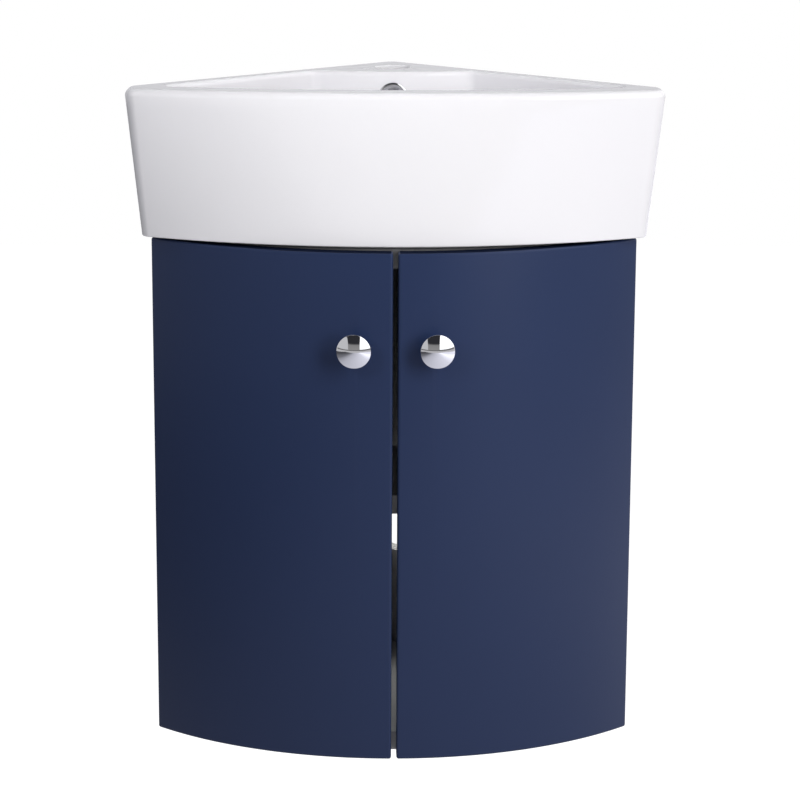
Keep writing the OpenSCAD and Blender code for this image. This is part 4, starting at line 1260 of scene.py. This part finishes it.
class VANITY_OT_boards(VanityOperator):
    """Ease and face the boards of the carcass"""
    bl_idname = "vanity.boards"
    bl_label = "Boards"

    def execute(self, context):
        made = finish_set()
        materials = [made.melamine, made.edging, made.chipboard]
        # The top board's materials carry painted shade under the basin.
        covered = [made.shaded_melamine, made.shaded_edging, made.chipboard]
        width = context.scene.vanity_cabinet.board_edge
        dressed("top_board", "melamine_board", covered, width, flat_board)
        for node in ("bottom_board", "shelf"):
            dressed(node, "melamine_board", materials, width, flat_board)
        for side in SIDES:
            dressed(f"{side}_side_panel", "melamine_board", materials, width, side_board(side))
        return {"FINISHED"}


class VANITY_OT_hinges(VanityOperator):
    """Ease the hinges' cups, links, arms and plates, and their pins"""
    bl_idname = "vanity.hinges"
    bl_label = "Hinges"

    def execute(self, context):
        nickel = finish_set().nickel
        width = context.scene.vanity_cabinet.metal_edge
        for end in ("upper", "lower"):
            for side in SIDES:
                for part in ("cup", "link", "arm", "plate"):
                    dressed(f"{end}_{side}_hinge_{part}", "hinge_steel", [nickel], width)
        for node in ("left_cup_pins", "right_cup_pins", "arm_pins"):
            dressed(node, "pin_steel", [nickel], width)
        return {"FINISHED"}


class VANITY_OT_fittings(VanityOperator):
    """Ease the hanging plates and shelf pins, and finish the bumpers and the sealant"""
    bl_idname = "vanity.fittings"
    bl_label = "Fittings"

    def execute(self, context):
        made = finish_set()
        width = context.scene.vanity_cabinet.metal_edge
        for side in SIDES:
            dressed(f"{side}_hanging_plate", "zinc_plate", [made.zinc], 2 * width)
            dressed(f"{side}_door_buffers", "clear_bumper", [made.bumper], 2 * width, segments=3)
        dressed("shelf_pins", "zinc_plate", [made.zinc], width)
        dress_cad("basin_seal", made.sealant)
        return {"FINISHED"}


# Sizes of the screws that aren't the small hinge screw, which is the tree's default.
BOLT = {"Shank Radius": 0.002, "Tip Length": 0.0004, "Tip Radius": 0.0016,
        "Recess Reach": 0.002, "Recess Width": 0.001, "Recess Depth": 0.0012}
ARM_BOLT = {**BOLT, "Length": 0.009, "Head Radius": 0.00375, "Neck Radius": 0.00375,
            "Head Height": 0.002, "Edge": 0.0004}
KNOB_BOLT = {**BOLT, "Length": 0.0292, "Head Radius": 0.004, "Neck Radius": 0.004,
             "Head Height": 0.0022, "Edge": 0.0005}
PANEL_SCREW = {"Length": 0.045, "Shank Radius": 0.0025, "Tip Length": 0.003, "Tip Radius": 0.0012,
               "Head Radius": 0.0045, "Neck Radius": 0.0045, "Head Height": 0.002, "Edge": 0.0003,
               "Recess Reach": 0.002, "Recess Depth": 0.0018, "Hexagon": True}
SCREWS = {"left_cup_screws": {}, "right_cup_screws": {}, "hinge_plate_screws": {},
          "hanging_plate_screws": {}, "hinge_arm_screws": ARM_BOLT, "left_knob_screw": KNOB_BOLT,
          "right_knob_screw": KNOB_BOLT, "panel_screws": PANEL_SCREW}


class VANITY_OT_screws(VanityOperator):
    """Put a turned screw on every seat"""
    bl_idname = "vanity.screws"
    bl_label = "Screws"

    def execute(self, context):
        tree = screw_tree()
        for node, values in SCREWS.items():
            make_screws(node, tree, values, finish_set().zinc)
        return {"FINISHED"}


# ---- Stage ----


LAMPS = (
    # name, place, point that it faces, size, colour, spread in degrees
    ("key", (1.15, -1.74, 1.05), (0, -0.15, 0.35), (0.6, 1.5), (1, 0.99, 0.97), 180),
    ("overhead", (0.15, -0.35, 2.2), (0, -0.2, 0.6), (1.2, 1.2), (1, 1, 1), 180),
    ("fill", (-0.45, -0.95, 0.8), (0, -0.3, 0.56), (0.25, 0.25), (0.97, 0.98, 1), 180),
    ("bowl", (-0.25, -0.6, 1.1), (0.05, -0.13, 0.62), (0.25, 0.25), (1, 1, 1), 45),
    ("rear", (0, 0.28, 0.5), (0, -0.12, 0.05), (0.5, 0.3), (1, 1, 1), 180),
)


def area_light(name, power, place, target, size, tint, spread):
    """A soft light, so wide and so high, that faces a point and shows in no reflection."""
    data = bpy.data.lights.new(name, "AREA")
    data.shape, data.size, data.size_y = "RECTANGLE", *size
    data.energy, data.color, data.spread = power, tint, math.radians(spread)
    lamp = bpy.data.objects.new(name, data)
    lamp.location = place
    lamp.rotation_euler = (Vector(target) - Vector(place)).to_track_quat("-Z", "Y").to_euler()
    lamp.visible_glossy = lamp.visible_camera = False
    bpy.context.scene.collection.objects.link(lamp)
    return lamp


def patch(tree, parts, across, above, edge=0.03):
    """A soft-edged mask over part of the sky: 1 inside a range of X and a range of Z."""
    inside = 1.0
    for axis, (low, high) in (("X", across), ("Z", above)):
        for start, turn in ((low, edge), (high, -edge)):
            step = ranged(tree, parts[axis], start, start + turn, 0.0, 1.0)
            inside = math_node(tree, "MULTIPLY", step, inside)
    return inside


def grey(level, tint=1.0):
    """A grey, whose green and blue may be held back."""
    return level, level * tint, level * tint


WHITE = grey(1.0)
# Colours that reflections show, from the floor to the ceiling and across the floor.
SKY = ((0.48, (0.55, 0.54, 0.56)), (0.505, grey(0.08, 0.98)), (0.53, grey(0.3, 0.98)),
       (0.7, grey(0.26, 0.98)), (0.76, (0.03, 0.03, 0.035)))
FLOOR_GLOW = ((0.13, grey(0.1)), (0.3, grey(0.25)), (0.4, grey(0.64)), (0.6, grey(1.05)),
              (0.72, grey(1.75)), (0.87, grey(1.25)))


def make_world(sizes):
    """White to the camera, faint even light on the object, and a studio to reflect."""
    left_wall, back_wall, window_light = (0.6, 0.6, 0.62), (0.72, 0.72, 0.75), (1.7, 1.7, 1.74)
    blue_share = 1.03
    world = bpy.data.worlds.new("Studio")
    bpy.context.scene.world = world
    world.use_nodes = True
    tree = world.node_tree
    tree.nodes.clear()
    path = add_node(tree, "ShaderNodeLightPath").outputs
    direction = add_node(tree, "ShaderNodeTexCoord").outputs["Generated"]
    parts = add_node(tree, "ShaderNodeSeparateXYZ", {"Vector": direction}).outputs
    sky = ramp_of(tree, ranged(tree, parts["Z"], -1.0, 1.0, 0.0, 1.0), SKY)
    left = blend_colours(tree, patch(tree, parts, (-1.1, -0.55), (0.04, 0.8)), sky, left_wall)
    room = blend_colours(tree, ranged(tree, parts["Y"], 0.0, 0.12, 0.0, 1.0), left, back_wall)
    window = blend_colours(tree, patch(tree, parts, (0.3, 1.1), (0.07, 1.1)), room, window_light)
    soft = (sizes.ambient, sizes.ambient, sizes.ambient * blue_share)
    seen = blend_colours(tree, path["Is Glossy Ray"], soft, window)
    pale = blend_colours(tree, path["Is Camera Ray"], seen, WHITE)
    clear = blend_colours(tree, path["Is Transmission Ray"], pale, WHITE)
    back = add_node(tree, "ShaderNodeBackground", {"Color": clear})
    out = tree.nodes.new("ShaderNodeOutputWorld")
    tree.links.new(back.outputs["Background"], out.inputs["Surface"])


def make_floor(sizes):
    """A pale floor that keeps the object's shadow, and shows white beyond it."""
    half_width, ramp_reach = 4, 3.0
    bm = bmesh.new()
    bmesh.ops.create_grid(bm, x_segments=1, y_segments=1, size=half_width)
    material = bpy.data.materials.new("Pale floor")
    floor = as_object(bm, "studio_floor", [material])
    floor.location = (0, 0, sizes.floor_level)
    material.use_nodes = True
    tree = material.node_tree
    tree.nodes.clear()
    path = add_node(tree, "ShaderNodeLightPath").outputs
    matte = add_node(tree, "ShaderNodeBsdfDiffuse", {"Color": (0.5, 0.5, 0.52, 1)})
    glow = add_node(tree, "ShaderNodeEmission", {"Color": (*WHITE, 1), "Strength": 0.98})
    lit = add_node(tree, "ShaderNodeBsdfDiffuse", {"Color": (*grey(0.3), 1)})
    shown = add_node(tree, "ShaderNodeAddShader", {0: glow.outputs[0], 1: lit.outputs[0]})
    place = add_node(tree, "ShaderNodeTexCoord").outputs["Object"]
    parts = add_node(tree, "ShaderNodeSeparateXYZ", {"Vector": place}).outputs
    across = ramp_of(tree, ranged(tree, parts["X"], -ramp_reach, ramp_reach, 0.0, 1.0), FLOOR_GLOW)
    nearer = ranged(tree, parts["Y"], -2.4, -1.0, 0.95, 1.05)
    strength = math_node(tree, "MULTIPLY", across, nearer)
    lilac = add_node(tree, "ShaderNodeEmission", {"Color": (0.76, 0.76, 0.86, 1), "Strength": strength})
    mirrored = add_node(tree, "ShaderNodeMixShader",
                        {0: path["Is Glossy Ray"], 1: matte.outputs[0], 2: lilac.outputs[0]})
    final = add_node(tree, "ShaderNodeMixShader",
                     {0: path["Is Camera Ray"], 1: mirrored.outputs[0], 2: shown.outputs[0]})
    out = tree.nodes.new("ShaderNodeOutputMaterial")
    tree.links.new(final.outputs[0], out.inputs["Surface"])
    return floor


class VANITY_OT_stage(VanityOperator):
    """Set the camera, the lights and the floor"""
    bl_idname = "vanity.stage"
    bl_label = "Stage"

    def execute(self, context):
        scene, sizes = context.scene, context.scene.vanity_stage
        camera = bpy.data.objects.new("camera", bpy.data.cameras.new("camera"))
        scene.collection.objects.link(camera)
        camera.data.sensor_width, camera.data.lens = 36, sizes.lens
        camera.location = (sizes.camera_x, sizes.camera_y, sizes.camera_z)
        turn = (Matrix.Rotation(-sizes.yaw, 3, "Z") @ Matrix.Rotation(math.pi / 2 - sizes.pitch, 3, "X")
                @ Matrix.Rotation(sizes.roll, 3, "Z"))
        camera.rotation_euler = turn.to_euler()
        camera.data.clip_end = 50
        scene.camera = camera
        scene.view_settings.view_transform = "Standard"
        make_world(sizes)
        lamps = [area_light(name, getattr(sizes, name), *setting) for name, *setting in LAMPS]
        make_floor(sizes)
        return {"FINISHED"}


class VANITY_PT_panel(bpy.types.Panel):
    """Lists the sizes, colours and pieces of the vanity unit"""
    bl_idname = "VANITY_PT_panel"
    bl_label = "Corner Vanity Unit"
    bl_space_type = "VIEW_3D"
    bl_region_type = "UI"
    bl_category = "Vanity"

    def draw(self, context):
        column = self.layout.column()
        for operator in OPERATORS:
            column.operator(operator.bl_idname)
        for name in SETTINGS:
            box = self.layout.box()
            settings = getattr(context.scene, name)
            for field in settings.__annotations__:
                box.prop(settings, field)


SETTINGS = {"vanity_basin": VanityBasinSizes, "vanity_cabinet": VanityCabinetSizes,
            "vanity_finishes": VanityFinishes, "vanity_stage": VanityStage}
OPERATORS = (VANITY_OT_basin, VANITY_OT_overflow_ring, VANITY_OT_doors, VANITY_OT_knobs, VANITY_OT_boards,
             VANITY_OT_hinges, VANITY_OT_fittings, VANITY_OT_screws, VANITY_OT_stage)


def register():
    """Adds the settings, the operators and the panel to Blender."""
    for name, group in SETTINGS.items():
        bpy.utils.register_class(group)
        setattr(bpy.types.Scene, name, PointerProperty(type=group))
    for operator in OPERATORS:
        bpy.utils.register_class(operator)
    bpy.utils.register_class(VANITY_PT_panel)


def unregister():
    """Takes them out again."""
    bpy.utils.unregister_class(VANITY_PT_panel)
    for operator in reversed(OPERATORS):
        bpy.utils.unregister_class(operator)
    for name, group in SETTINGS.items():
        delattr(bpy.types.Scene, name)
        bpy.utils.unregister_class(group)


def main():
    """Makes every piece and the stage."""
    register()
    for operator in OPERATORS:
        group, name = operator.bl_idname.split(".")
        getattr(getattr(bpy.ops, group), name)()


if __name__ == "__main__":
    main()
